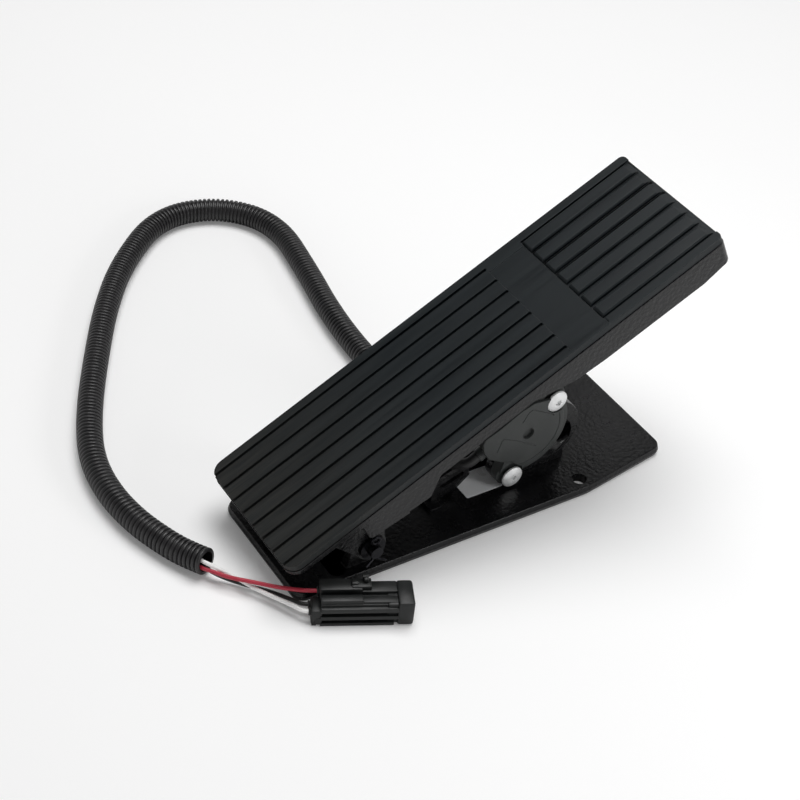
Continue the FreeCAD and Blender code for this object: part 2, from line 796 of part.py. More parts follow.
def sensor_cap():
    plate = Part.Face(sensor_profile(sensor_face_x, cap_inset)).extrude(V(cap_thick, 0, 0))
    rim = [e for e in plate.Edges if e.BoundBox.XMin > sensor_face_x + cap_thick - 0.1]
    plate = plate.makeChamfer(0.7, rim)
    cuts = [cyl_x(shaft_y, shaft_z, 3.0, sensor_face_x + 0.6, sensor_face_x + 5)]
    for y, z in (screw_a, screw_b):
        cuts.append(cyl_x(y, z, sensor_ear_r, sensor_face_x - 1, sensor_face_x + cap_thick + 1))
    cuts.append(panel(41.0, 39.0, 27.0, 9.0, 0.5))
    cuts.append(panel(53.5, 58.0, 17.0, 9.0, 0.5))
    return plate.cut(fuse(cuts))


def sensor_screw(y, z):
    seat = ear_seat_x()
    tip = cheek_near_x + 0.5
    profile = [
        (0, tip), (screw_r, tip), (screw_r, seat), (sensor_flange_r, seat),
        (sensor_flange_r, seat + sensor_flange_thick * 0.6), (sensor_head_r, seat + sensor_flange_thick + 0.3),
        (sensor_head_r * 0.86, seat + sensor_head_h * 0.75), (sensor_head_r * 0.5, seat + sensor_head_h),
        (0, seat + sensor_head_h),
    ]
    wire = Part.makePolygon([V(x, y + r, z) for r, x in profile + profile[:1]])
    screw = Part.Face(wire).revolve(V(tip, y, z), V(1, 0, 0), 360)
    lobes = [cyl_x(y, z, 1.6, seat + 1.6, seat + sensor_head_h + 1)]
    for i in range(6):
        a = i * math.pi / 3
        lobes.append(cyl_x(y + 1.7 * math.cos(a), z + 1.7 * math.sin(a), 0.65, seat + 1.6, seat + sensor_head_h + 1))
    return screw.cut(fuse(lobes))


def sensor_screws():
    return Part.makeCompound([sensor_screw(y, z) for y, z in (screw_a, screw_b)])


def sensor_rotor():
    x0 = sensor_x + rotor_gap
    disc = cyl_x(shaft_y, shaft_z, rotor_r, x0, x0 + rotor_thick)
    square = box(x0 - 1, x0 + tang_length, shaft_y - tang_half, shaft_y + tang_half,
                 shaft_z - tang_half, shaft_z + tang_half)
    return disc.cut(square)


# Cable guide, label and clip

def guide_screw():
    return (7.0, -7.0)


def cable_guide():
    x0, x1 = guide_x, guide_x + guide_thick
    outline = [(-13.0, base_thick), (-3.2, base_thick), (17.7, 18.1), (14.1, 29.2), (-6.7, 20.9), (-13.0, 12.0)]
    plate = plate_x(outline, [0, 0, 2.5, 2.5, 2, 2], x0, x1)
    incline = 21.7
    slot = plate_x([(-10, -1.6), (10, -1.6), (10, 1.6), (-10, 1.6)], [1.5] * 4, x0 - 1, x1 + 1)
    slot.rotate(V(0, 0, 0), V(1, 0, 0), incline)
    slot.translate(V(0, 5.2, 19.6))
    foot = plate_z([(1.5, -13.0), (20.0, -13.0), (20.0, -4.5), (x0, -4.5), (x0, -1.0), (1.5, -1.0)],
                   [4, 2, 2, 0, 0, 4], base_thick, base_thick + 2.6)
    body = fuse([plate.cut(slot), foot])
    x, y = guide_screw()
    return body.cut(cyl_z(x, y, screw_r + screw_clear, 0, 20))


def pan_screw(x, y, seat):
    """Pan head screw with a cross recess."""
    head = cyl_z(x, y, screw_head_r, seat, seat + 3.2)
    head = head.makeFillet(1.2, [e for e in head.Edges if e.BoundBox.ZMin > seat + 3.1])
    shank = cyl_z(x, y, screw_r, base_thick - screw_bite, seat)
    cross = fuse([box(x - 2.6, x + 2.6, y - 0.6, y + 0.6, seat + 1.6, seat + 5),
                  box(x - 0.6, x + 0.6, y - 2.6, y + 2.6, seat + 1.6, seat + 5)])
    return fuse([head, shank]).cut(cross)


def cable_guide_screw():
    x, y = guide_screw()
    return pan_screw(x, y, base_thick + 2.6)


def label_plate():
    return plate_z([(-0.4, 14.0), (19.0, 14.0), (19.0, 40.0), (-0.4, 40.0)], [1.0] * 4,
                   base_thick, base_thick + label_thick)


def band_inner_r():
    return conduit_r + cord_gap + liner_wall


def clip_screw():
    return (clip_x + clip_width / 2, conduit_y - band_inner_r() - 8.0)


def clip_liner():
    outer = cyl_x(conduit_y, conduit_z, band_inner_r(), clip_x - 1, clip_x + clip_width + 1)
    return outer.cut(cyl_x(conduit_y, conduit_z, conduit_r + cord_gap, clip_x - 2, clip_x + clip_width + 2))


def conduit_clip():
    r = band_inner_r()
    x1 = clip_x + clip_width
    ring = cyl_x(conduit_y, conduit_z, r + band_wall, clip_x, x1)
    x, y = clip_screw()
    tab = plate_z([(clip_x, y - 6), (x1, y - 6), (x1, conduit_y), (clip_x, conduit_y)], [3, 3, 0, 0],
                  base_thick, base_thick + 2 * band_wall)
    body = fuse([ring, tab])
    return body.cut(fuse([cyl_x(conduit_y, conduit_z, r, clip_x - 1, x1 + 1),
                          cyl_z(x, y, screw_r + screw_clear, 0, 20)]))


def conduit_clip_screw():
    x, y = clip_screw()
    return pan_screw(x, y, base_thick + 2 * band_wall)


# Cords

conduit_route = [
    (-20.0, 30.0, 17.5), (-48.0, 30.3, 17.5), (-80.0, 28.8, 13.2), (-112.0, 27.8, 8.5), (-143.0, 28.9, 8.0),
    (-178.0, 32.8, 8.0), (-215.0, 40.3, 8.0), (-278.6, 50.4, 8.0), (-314.5, 22.1, 8.0), (-318.8, -23.4, 8.0),
    (-279.0, -69.0, 8.0), (-240.0, -99.0, 8.0), (-195.0, -126.5, 8.0), (-150.0, -152.0, 8.0),
    (-112.0, -168.5, 8.0), (-80.0, -172.8, 8.0), (-50.0, -169.5, 8.0), (-22.0, -160.0, 8.0), (-2.0, -149.5, 8.0),
]
red_route = [
    (-11.3, -157.6, 4.6), (-0.9, -152.1, 4.6), (10.5, -145.3, 6.4), (18.5, -137.6, 8.0), (27.0, -128.3, 8.2),
    (37.0, -119.6, 8.8), (47.32, -111.59, 9.5), (50.59, -104.29, 9.5),
]
white_route = [
    (-13.9, -152.6, 4.6), (-3.5, -147.1, 4.5), (7.5, -139.9, 4.0), (17.5, -133.8, 4.4), (31.0, -128.4, 4.2),
    (43.5, -125.6, 4.2), (53.5, -123.0, 5.6), (57.37, -119.5, 6.5), (59.46, -114.84, 6.5),
]
black_route = [
    (-12.6, -155.1, 3.6), (-2.2, -149.6, 3.4), (9.0, -142.2, 1.9), (20.5, -132.6, 1.5), (31.5, -126.2, 1.8),
    (42.5, -121.6, 3.6), (50.94, -118.69, 6.5), (53.8, -112.3, 6.5),
]
lead_route = [
    (18.0, 17.5, 38.0), (18.0, 10.97, 34.32), (11.0, 6.0, 31.0), (7.0, 7.0, 21.5), (1.5, 11.5, 13.0),
    (-6.0, 18.5, 10.8), (-14.0, 26.0, 13.2), (-20.5, 29.6, 17.0), (-26.0, 30.0, 17.4),
]


def cord(name, route, radius, bore=0.0):
    """Tube of straight runs joined by tangent arcs, each as large as its two runs allow."""
    points = [V(*p) for p in route]
    edges, radii = [], []
    start = points[0]
    for i in range(1, len(points) - 1):
        before, here, after = points[i - 1], points[i], points[i + 1]
        back, ahead = (before - here), (after - here)
        reach = 0.45 * min(back.Length, ahead.Length)
        back.normalize()
        ahead.normalize()
        half_turn = (math.pi - back.getAngle(ahead)) / 2
        bend = reach / math.tan(half_turn)
        inward = (back + ahead).normalize()
        centre = here + inward * (bend / math.cos(half_turn))
        middle = centre - inward * bend
        first, last = here + back * reach, here + ahead * reach
        edges.append(Part.LineSegment(start, first).toShape())
        edges.append(Part.Arc(first, middle, last).toShape())
        radii.append(bend)
        start = last
    edges.append(Part.LineSegment(start, points[-1]).toShape())
    path = Part.Wire(edges)
    way = (points[1] - points[0]).normalize()
    sections = [Part.Wire(Part.Circle(points[0], way, r).toShape()) for r in (radius, bore) if r > 0]
    tube = path.makePipeShell([sections[0]], True, False)
    if bore > 0:
        tube = tube.cut(path.makePipeShell([sections[1]], True, False))
    expected = math.pi * (radius ** 2 - bore ** 2) * path.Length
    print(name, "length %.0f" % path.Length, "radii", [round(r, 1) for r in radii],
          "volume %.0f section times length %.0f" % (tube.Volume, expected))
    return tube


# Connector

def connector_housing():
    l0, l1 = connector_rear, connector_length
    collar = l1 - 9.0
    half, top = connector_half, connector_h
    section = [(-half, 0), (half, 0), (half, top - 4), (half - 3, top - 1.2), (-half + 3, top - 1.2), (-half, top - 4)]
    wire = rounded_wire([V(l0, w, z) for w, z in section], [1.5] * 6)
    body = Part.Face(wire).extrude(V(collar - l0 + 1, 0, 0))
    rim = rounded_wire([V(collar, w, z) for w, z in
                        [(-half, 0), (half, 0), (half, top - 2.5), (half - 2.5, top), (-half + 2.5, top),
                         (-half, top - 2.5)]], [1.0] * 6)
    pieces = [body, Part.Face(rim).extrude(V(l1 - collar, 0, 0))]
    middle = l0 + 25.0
    for w in (-7.4, -2.6, 2.2, 7.0):
        pieces.append(box(l0 + 1.0, middle, w - 1.6, w + 1.6, top - 5.5, top - 0.4))
        pieces.append(box(middle - 1, collar + 1, w - 1.2, w + 1.2, top - 5.5, top - 0.9))
    pieces.append(box(0.0, l0 + 1, 0.8 - half, 3.0, 0.6, 11.0))
    body = fuse(pieces)
    cuts = [box(l1 - socket_depth, l1 + 1, -half + socket_wall, half - socket_wall, 3.0, 12.0)]
    for side, z in ((-1, red_way_z), (0, way_z), (1, way_z)):
        end = l0 if side < 0 else 0.0
        cuts.append(Part.makeCylinder(2.2, 4.0, V(end - 0.5, side * -way_pitch, z), V(1, 0, 0)))
    cuts.append(box(middle + 2.5, middle + 9.5, half - 9.6, half - 2.6, top - 2.6, top + 1))
    return at_connector(body.cut(fuse(cuts)))


def connector_seals():
    """Ribbed wire seals, one in each way."""
    seals = []
    for side, z in ((-1, red_way_z), (0, way_z), (1, way_z)):
        end = connector_rear if side < 0 else 0.0
        seals.append(Part.makeCylinder(2.2, 3.5, V(end, side * -way_pitch, z), V(1, 0, 0)))
    return at_connector(Part.makeCompound(seals))


def connector_lock():
    """Latch tab in the window on top of the housing."""
    top = connector_h
    l0 = connector_rear + 25.0 + 2.5
    tab = box(l0, l0 + 7.0, connector_half - 9.6, connector_half - 2.6, top - 2.6, top - 0.9)
    hook = box(l0 + 2.0, l0 + 4.2, connector_half - 9.6, connector_half - 2.6, top - 2.6, top)
    return at_connector(fuse([tab, hook]))


def connector_terminals():
    floor = connector_length - socket_depth
    pins = []
    for side in (-1, 0, 1):
        w = side * 5.0
        pins.append(box(floor, floor + 6.0, w - 1.1, w + 1.1, 7.1, 7.9))
    return at_connector(Part.makeCompound(pins))


def main():
    os.makedirs("parts", exist_ok=True)
    nodes = {
        "base_plate": base_plate(),
        "hinge_pin": hinge_pin(),
        "cotter_pin": cotter_pin(),
        "hinge_washers": hinge_washers(),
        "treadle": treadle(),
        "treadle_pad": treadle_pad(),
        "hinge_bushings": hinge_bushings(),
        "wear_plate": wear_plate(),
        "wear_screws": wear_screws(),
        "pedestal": pedestal(),
        "pedestal_screws": pedestal_screws(),
        "stop_pins": stop_pins(),
        "shaft_bushings": shaft_bushings(),
        "lever_shaft": lever_shaft(),
        "shaft_clip": shaft_clip(),
        "lever_arm": lever_arm(),
        "lever_roll_pin": lever_roll_pin(),
        "roller_pin": roller_pin(),
        "roller_clips": roller_clips(),
        "roller": roller(),
        "far_spring": far_spring(),
        "near_spring": near_spring(),
        "sensor_body": sensor_body(),
        "sensor_cap": sensor_cap(),
        "sensor_rotor": sensor_rotor(),
        "sensor_screws": sensor_screws(),
        "cable_guide": cable_guide(),
        "cable_guide_screw": cable_guide_screw(),
        "label_plate": label_plate(),
        "clip_liner": clip_liner(),
        "conduit_clip": conduit_clip(),
        "conduit_clip_screw": conduit_clip_screw(),
        "sensor_lead": cord("sensor_lead", lead_route, lead_r),
        "conduit": cord("conduit", conduit_route, conduit_r, conduit_bore_r),
        "wire_red": cord("wire_red", red_route, wire_r),
        "wire_white": cord("wire_white", white_route, wire_r),
        "wire_black": cord("wire_black", black_route, wire_r),
        "connector_housing": connector_housing(),
        "connector_seals": connector_seals(),
        "connector_lock": connector_lock(),
        "connector_terminals": connector_terminals(),
    }
    for name, shape in nodes.items():
        print(name, "valid", shape.isValid(), "solids", len(shape.Solids), "volume %.0f" % shape.Volume)
        shape.exportStep("parts/%s.step" % name)


main()
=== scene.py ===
"""Looks of a floor-mounted electronic accelerator pedal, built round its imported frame.

Everything is in metres, in the row frame: +X towards the sensor side, +Y towards the toe end, +Z up.
The origin is the centre of the four mounting holes, on the underside of the base.
"""

import json
import logging
import math
from collections.abc import Iterator
from contextlib import contextmanager
from dataclasses import dataclass, field
from enum import Enum

import bpy
from mathutils import Matrix, Vector


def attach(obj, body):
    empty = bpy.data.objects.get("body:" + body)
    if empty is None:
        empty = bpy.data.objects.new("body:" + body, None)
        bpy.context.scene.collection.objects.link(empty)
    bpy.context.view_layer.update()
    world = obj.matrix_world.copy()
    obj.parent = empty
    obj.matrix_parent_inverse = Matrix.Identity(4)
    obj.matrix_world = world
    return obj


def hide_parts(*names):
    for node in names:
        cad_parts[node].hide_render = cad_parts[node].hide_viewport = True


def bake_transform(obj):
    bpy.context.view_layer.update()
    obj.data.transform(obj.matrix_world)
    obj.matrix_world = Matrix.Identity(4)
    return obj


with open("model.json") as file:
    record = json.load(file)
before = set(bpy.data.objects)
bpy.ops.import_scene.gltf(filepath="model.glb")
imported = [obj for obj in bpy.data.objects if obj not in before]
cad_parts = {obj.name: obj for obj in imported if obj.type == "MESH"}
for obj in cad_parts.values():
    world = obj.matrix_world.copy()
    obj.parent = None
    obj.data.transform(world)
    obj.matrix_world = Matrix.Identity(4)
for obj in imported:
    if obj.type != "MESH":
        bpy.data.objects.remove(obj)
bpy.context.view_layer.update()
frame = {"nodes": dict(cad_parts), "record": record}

logging.basicConfig(level=logging.INFO, format="%(message)s")
log = logging.getLogger("pedal")

MM = 0.001
Point = tuple[float, float, float]
Colour = tuple[float, float, float]
Pair = tuple[float, float]
Pairs = tuple[Pair, ...]
Box = tuple[Point, Point]

TILT = math.radians(27.83)
TREADLE_ORIGIN = Vector((0.0, -0.1243, 0.0305))
TREADLE = Matrix.Translation(TREADLE_ORIGIN) @ Matrix.Rotation(TILT, 4, "X")

CONNECTOR_ORIGIN = Vector((0.0526, -0.1129, 0.0))
CONNECTOR_TURN = math.radians(64.0)
CONNECTOR = Matrix.Translation(CONNECTOR_ORIGIN) @ Matrix.Rotation(CONNECTOR_TURN, 4, "Z")

# Turns a flat outline drawn in X and Y so that it lies across the base, with its front towards +X.
FACE_X = Matrix(((0.0, 0.0, 1.0, 0.0), (1.0, 0.0, 0.0, 0.0), (0.0, 1.0, 0.0, 0.0), (0.0, 0.0, 0.0, 1.0)))

# Corners closer than this, in metres, are one: a CAD node's, and a drawn outline's.
SAME_CORNER = 0.000002
SAME_OUTLINE_CORNER = 0.000005

# Faces that meet at less than FLAT are one, and edges that turn by more than SHARP are rounded.
FLAT = math.radians(0.2)
SHARP = math.radians(32.0)

# Edges that turn by more than these are shown sharp.
PLATE_EDGE = math.radians(35.0)
HEAD_EDGE = math.radians(38.0)
CAST_EDGE = math.radians(40.0)
COIL_EDGE = math.radians(50.0)

# Steps round each corner of a drawn outline.
CORNER_STEPS = 5


class Body(Enum):
    """The bodies that the pieces made here ride on."""

    BASE = "base"
    TREADLE = "treadle"
    LEVER = "lever"


class Slot(Enum):
    """The record's material slots."""

    BLACK_COAT = "black_coat"
    ZINC_STEEL = "zinc_steel"
    BRIGHT_ZINC = "bright_zinc"
    PLAIN_STEEL = "plain_steel"
    DARK_STEEL = "dark_steel"
    SPRING_STEEL = "spring_steel"
    BRONZE = "bronze"
    PAD_RUBBER = "pad_rubber"
    BLACK_RUBBER = "black_rubber"
    GREY_PLASTIC = "grey_plastic"
    WHITE_PLASTIC = "white_plastic"
    SILVER_LABEL = "silver_label"
    LOOM_PLASTIC = "loom_plastic"
    RED_WIRE = "red_wire"
    WHITE_WIRE = "white_wire"
    BLACK_WIRE = "black_wire"
    CONNECTOR_PLASTIC = "connector_plastic"
    TIN_PLATE = "tin_plate"


class NodeSheet:
    """A material's node tree, with short calls for the nodes that every finish uses."""

    def __init__(self, name: str) -> None:
        """Starts a material with one shader.

        Args:
            name: The material's name.
        """
        self.material = bpy.data.materials.new(name)
        self.material.use_nodes = True
        self.tree = self.material.node_tree
        self.shader = self.tree.nodes["Principled BSDF"]
        self.place = self.add("ShaderNodeTexCoord").outputs["Object"]

    def add(self, kind: str, **settings: object) -> bpy.types.Node:
        """Adds a node.

        Args:
            kind: The node's type name.
            settings: Values for the node's own properties.

        Returns:
            The new node.
        """
        node = self.tree.nodes.new(kind)
        for key, value in settings.items():
            setattr(node, key, value)
        return node

    def join(self, output: bpy.types.NodeSocket, target: bpy.types.NodeSocket) -> None:
        """Links an output to an input."""
        self.tree.links.new(output, target)

    def set(self, socket: str, value: object) -> None:
        """Sets a constant on the shader."""
        self.shader.inputs[socket].default_value = value

    def mapped(self, scale: Point, turn_x: float = 0.0, turn_z: float = 0.0) -> bpy.types.NodeSocket:
        """Object coordinates, turned and scaled.

        Args:
            scale: Pattern repeats per metre along each axis.
            turn_x: Turn about X in radians, for what follows the treadle.
            turn_z: Turn about Z in radians, for what follows the connector.

        Returns:
            The vector output.
        """
        turned = self.add("ShaderNodeMapping")
        turned.inputs["Rotation"].default_value = (turn_x, 0.0, turn_z)
        self.join(self.place, turned.inputs["Vector"])
        scaled = self.add("ShaderNodeMapping")
        scaled.inputs["Scale"].default_value = scale
        self.join(turned.outputs["Vector"], scaled.inputs["Vector"])
        return scaled.outputs["Vector"]

    def noise(self, vector: bpy.types.NodeSocket, detail: float = 3.0,
              rough: float = 0.55) -> bpy.types.NodeSocket:
        """A noise pattern over coordinates that are already scaled."""
        node = self.add("ShaderNodeTexNoise")
        node.inputs["Scale"].default_value = 1.0
        node.inputs["Detail"].default_value = detail
        node.inputs["Roughness"].default_value = rough
        self.join(vector, node.inputs["Vector"])
        return node.outputs["Fac"]

    def span(self, value: bpy.types.NodeSocket, low: float, high: float,
             start: float = 0.3, stop: float = 0.7) -> bpy.types.NodeSocket:
        """Maps a pattern's start to stop onto low to high."""
        node = self.add("ShaderNodeMapRange")
        for key, number in (("From Min", start), ("From Max", stop), ("To Min", low), ("To Max", high)):
            node.inputs[key].default_value = number
        self.join(value, node.inputs["Value"])
        return node.outputs["Result"]

    def blend(self, factor: bpy.types.NodeSocket, low: object, high: object) -> bpy.types.NodeSocket:
        """Mixes two colours, each a colour or an output, by a pattern."""
        node = self.add("ShaderNodeMix", data_type="RGBA")
        self.join(factor, node.inputs["Factor"])
        for key, value in (("A", low), ("B", high)):
            socket = next(s for s in node.inputs if s.name == key and s.type == "RGBA")
            if isinstance(value, bpy.types.NodeSocket):
                self.join(value, socket)
            else:
                socket.default_value = (*value, 1.0)
        return next(s for s in node.outputs if s.type == "RGBA")

    def bumped(self, height: bpy.types.NodeSocket, strength: float, depth: float) -> None:
        """Adds a bump under the ones that are already there."""
        node = self.add("ShaderNodeBump")
        node.inputs["Strength"].default_value = strength
        node.inputs["Distance"].default_value = depth
        self.join(height, node.inputs["Height"])
        normal = self.shader.inputs["Normal"]
        if normal.is_linked:
            self.join(normal.links[0].from_socket, node.inputs["Normal"])
        self.join(node.outputs["Normal"], normal)


@dataclass(frozen=True)
class Finish:
    """A surface with colour patches, uneven gloss and a fine bump.

    Attributes:
        dark: Colour of the darker patches.
        light: Colour of the lighter patches.
        gloss: Lowest and highest roughness.
        patches: Colour patches per metre along each axis.
        grain: Bump features per metre along each axis.
        bump: Strength and depth in metres of the bump.
        metallic: 1 for bare metal.
        specular: Strength of the plain reflection.
        turn_x: Turn of the pattern about X in radians.
        turn_z: Turn of the pattern about Z in radians.
    """

    dark: Colour
    light: Colour
    gloss: Pair = (0.35, 0.5)
    patches: Point = (60.0, 60.0, 60.0)
    grain: Point = (1200.0, 1200.0, 1200.0)
    bump: Pair = (0.2, 0.0002)
    metallic: float = 0.0
    specular: float = 0.5
    turn_x: float = 0.0
    turn_z: float = 0.0

    def build(self, name: str) -> bpy.types.Material:
        """Makes the material.

        Args:
            name: The material's name.

        Returns:
            The material.
        """
        sheet = NodeSheet(name)
        sheet.set("Metallic", self.metallic)
        sheet.set("Specular IOR Level", self.specular)
        patch = sheet.noise(sheet.mapped(self.patches, self.turn_x, self.turn_z), 4.0)
        colour = sheet.blend(sheet.span(patch, 0.0, 1.0), self.dark, self.light)
        sheet.join(colour, sheet.shader.inputs["Base Color"])
        grain = sheet.noise(sheet.mapped(self.grain, self.turn_x, self.turn_z), 2.0)
        sheet.join(sheet.span(patch, *self.gloss), sheet.shader.inputs["Roughness"])
        sheet.bumped(grain, *self.bump)
        self.extra(sheet)
        return sheet.material

    def extra(self, sheet: NodeSheet) -> None:
        """Adds what only one finish has."""


@dataclass(frozen=True)
class OrangePeel(Finish):
    """Powder coat, with a coarse soft bump over the fine one.

    Attributes:
        peel: Coarse bumps per metre.
        peel_bump: Strength and depth in metres of the coarse bump.
    """

    peel: float = 420.0
    peel_bump: Pair = (0.55, 0.0006)

    def extra(self, sheet: NodeSheet) -> None:
        """Adds the coarse bump."""
        coarse = sheet.noise(sheet.mapped((self.peel,) * 3), 2.0, 0.4)
        sheet.bumped(coarse, *self.peel_bump)


@dataclass(frozen=True)
class PadRubber(Finish):
    """Moulded rubber, streaked along the treadle and lightened grey towards the heel, partly wear and partly
    painted sheen.

    Attributes:
        heel_wear_and_sheen: Colour of the heel end, partly wear and partly painted sheen.
        heel: Where along the treadle that colour is full and where it ends, in metres.
        scuffs: Scuffs per metre along each axis.
        scuff_bump: Strength and depth in metres of their bump.
    """

    heel_wear_and_sheen: Colour = (0.026, 0.025, 0.022)
    heel: Pair = (-0.10, 0.03)
    scuffs: Point = (900.0, 35.0, 900.0)
    scuff_bump: Pair = (0.25, 0.00015)

    def extra(self, sheet: NodeSheet) -> None:
        """Paints the heel end lighter, partly wear and partly painted sheen, and adds fine lengthwise
        scuffs.
        """
        scuff = sheet.noise(sheet.mapped(self.scuffs, -TILT), 3.0, 0.6)
        along = sheet.add("ShaderNodeSeparateXYZ")
        sheet.join(sheet.mapped((1.0, 1.0, 1.0), -TILT), along.inputs["Vector"])
        near_heel = sheet.span(along.outputs["Y"], 1.0, 0.0, *self.heel)
        amount = sheet.add("ShaderNodeMath", operation="MULTIPLY")
        sheet.join(near_heel, amount.inputs[0])
        sheet.join(sheet.span(scuff, 0.2, 1.0), amount.inputs[1])
        base = sheet.shader.inputs["Base Color"]
        # Painted sheen mixed with wear: the heel end is lightened towards a grey colour.
        wear_and_sheen = sheet.blend(amount.outputs["Value"], base.links[0].from_socket, self.heel_wear_and_sheen)
        sheet.join(wear_and_sheen, base)
        sheet.bumped(scuff, *self.scuff_bump)


@dataclass(frozen=True)
class TurnedMetal(Finish):
    """Bare metal with fine marks all round.

    Attributes:
        marks: Tool marks per metre along each axis.
        mark_bump: Strength and depth in metres of their bump.
    """

    marks: Point = (2600.0, 300.0, 300.0)
    mark_bump: Pair = (0.08, 0.0001)

    def extra(self, sheet: NodeSheet) -> None:
        """Adds fine tool marks."""
        fine = sheet.noise(sheet.mapped(self.marks), 2.0)
        sheet.bumped(fine, *self.mark_bump)


FINISHES: dict[Slot, Finish] = {
    Slot.BLACK_COAT: OrangePeel((0.003, 0.003, 0.0034), (0.006, 0.006, 0.0068), (0.22, 0.31), specular=0.33),
    # Zinc steel is coloured far darker than bare zinc: painted shade for the parts that sit under the
    # treadle.
    Slot.ZINC_STEEL: TurnedMetal((0.11, 0.11, 0.105), (0.19, 0.19, 0.18), (0.28, 0.42), metallic=1.0),
    Slot.BRIGHT_ZINC: TurnedMetal((0.84, 0.85, 0.85), (0.93, 0.93, 0.93), (0.42, 0.55), metallic=0.55),
    Slot.PLAIN_STEEL: TurnedMetal((0.36, 0.36, 0.37), (0.50, 0.50, 0.50), (0.22, 0.38), metallic=1.0),
    Slot.DARK_STEEL: TurnedMetal((0.012, 0.012, 0.014), (0.03, 0.03, 0.034), (0.3, 0.45), metallic=1.0),
    Slot.SPRING_STEEL: TurnedMetal((0.20, 0.19, 0.18), (0.32, 0.31, 0.29), (0.25, 0.4), metallic=1.0),
    Slot.BRONZE: TurnedMetal((0.42, 0.27, 0.12), (0.55, 0.37, 0.18), (0.3, 0.5), metallic=1.0),
    # The pad colours' blue-teal tint is a painted reflection; the rubber itself is black.
    Slot.PAD_RUBBER: PadRubber((0.0022, 0.0048, 0.0066), (0.0055, 0.0095, 0.0115), (0.36, 0.58),
                               patches=(260.0, 14.0, 260.0), grain=(1600.0, 500.0, 1600.0),
                               bump=(0.12, 0.00012), specular=0.3, turn_x=-TILT),
    Slot.BLACK_RUBBER: Finish((0.010, 0.010, 0.010), (0.018, 0.018, 0.018), (0.5, 0.65)),
    Slot.GREY_PLASTIC: Finish((0.038, 0.041, 0.040), (0.050, 0.053, 0.052), (0.40, 0.50), specular=0.3),
    Slot.WHITE_PLASTIC: Finish((0.66, 0.65, 0.60), (0.76, 0.75, 0.70), (0.35, 0.45)),
    Slot.SILVER_LABEL: Finish((0.90, 0.91, 0.92), (0.96, 0.97, 0.98), (0.25, 0.35), metallic=0.12),
    Slot.LOOM_PLASTIC: Finish((0.010, 0.0095, 0.0105), (0.018, 0.017, 0.018), (0.30, 0.44)),
    Slot.RED_WIRE: Finish((0.42, 0.022, 0.045), (0.52, 0.04, 0.07), (0.32, 0.42)),
    Slot.WHITE_WIRE: Finish((0.94, 0.93, 0.92), (0.98, 0.97, 0.96), (0.34, 0.42)),
    Slot.BLACK_WIRE: Finish((0.010, 0.010, 0.010), (0.016, 0.016, 0.016), (0.34, 0.44)),
    Slot.CONNECTOR_PLASTIC: Finish((0.0035, 0.0045, 0.0042), (0.008, 0.009, 0.009), (0.36, 0.5),
                                   specular=0.4, turn_z=-CONNECTOR_TURN),
    Slot.TIN_PLATE: TurnedMetal((0.58, 0.58, 0.56), (0.70, 0.70, 0.68), (0.2, 0.3), metallic=1.0),
}


class Paintbox:
    """Makes each finish's material once."""

    def __init__(self) -> None:
        """Starts empty."""
        self.made: dict[Slot, bpy.types.Material] = {}

    def material(self, slot: Slot) -> bpy.types.Material:
        """The material of a slot."""
        if slot not in self.made:
            self.made[slot] = FINISHES[slot].build(slot.value)
        return self.made[slot]

    def dress(self, obj: bpy.types.Object, slot: Slot) -> None:
        """Gives an object one finish all over."""
        obj.data.materials.clear()
        obj.data.materials.append(self.material(slot))


PAINT = Paintbox()


def make_active(obj: bpy.types.Object) -> None:
    """Selects one object alone and makes it the active one."""
    for other in bpy.context.selected_objects:
        other.select_set(False)
    obj.select_set(True)
    bpy.context.view_layer.objects.active = obj


def apply_modifier(obj: bpy.types.Object, kind: str, **settings: object) -> None:
    """Adds a modifier and applies it at once.

    Args:
        obj: The object.
        kind: The modifier's type.
        settings: Values for its properties.
    """
    make_active(obj)
    modifier = obj.modifiers.new(kind.lower(), kind)
    for key, value in settings.items():
        setattr(modifier, key, value)
    bpy.ops.object.modifier_apply(modifier=modifier.name)


@contextmanager
def editing(obj: bpy.types.Object) -> Iterator[None]:
    """Opens an object in edit mode with its whole mesh selected, and closes it afterwards."""
    make_active(obj)
    bpy.ops.object.mode_set(mode="EDIT")
    bpy.ops.mesh.select_all(action="SELECT")
    yield
    bpy.ops.object.mode_set(mode="OBJECT")


def linked(name: str, data: bpy.types.ID) -> bpy.types.Object:
    """Makes an object of some data and adds it to the scene."""
    obj = bpy.data.objects.new(name, data)
    bpy.context.scene.collection.objects.link(obj)
    return obj


def meshed(name: str, curve: bpy.types.Curve) -> bpy.types.Object:
    """Makes a mesh object of a curve."""
    make_active(linked(name, curve))
    bpy.ops.object.convert(target="MESH")
    return bpy.context.active_object


def shade(obj: bpy.types.Object, edge: float) -> None:
    """Shades an object smooth.

    Args:
        obj: The object.
        edge: Edges that turn by more than this, in radians, are shown sharp.
    """
    make_active(obj)
    bpy.ops.object.shade_smooth_by_angle(angle=edge)


def soften(obj: bpy.types.Object, width: float) -> None:
    """Rounds an object's sharp edges and shades it smooth, with its large faces flat.

    Args:
        obj: The object.
        width: Width of the rounding in metres, or 0 to keep the edges sharp.
    """
    if width > 0.0:
        apply_modifier(obj, "BEVEL", width=width, segments=2, limit_method="ANGLE", angle_limit=SHARP,
                       use_clamp_overlap=False, miter_outer="MITER_ARC")
    shade(obj, CAST_EDGE)
    apply_modifier(obj, "WEIGHTED_NORMAL", keep_sharp=True, weight=100)


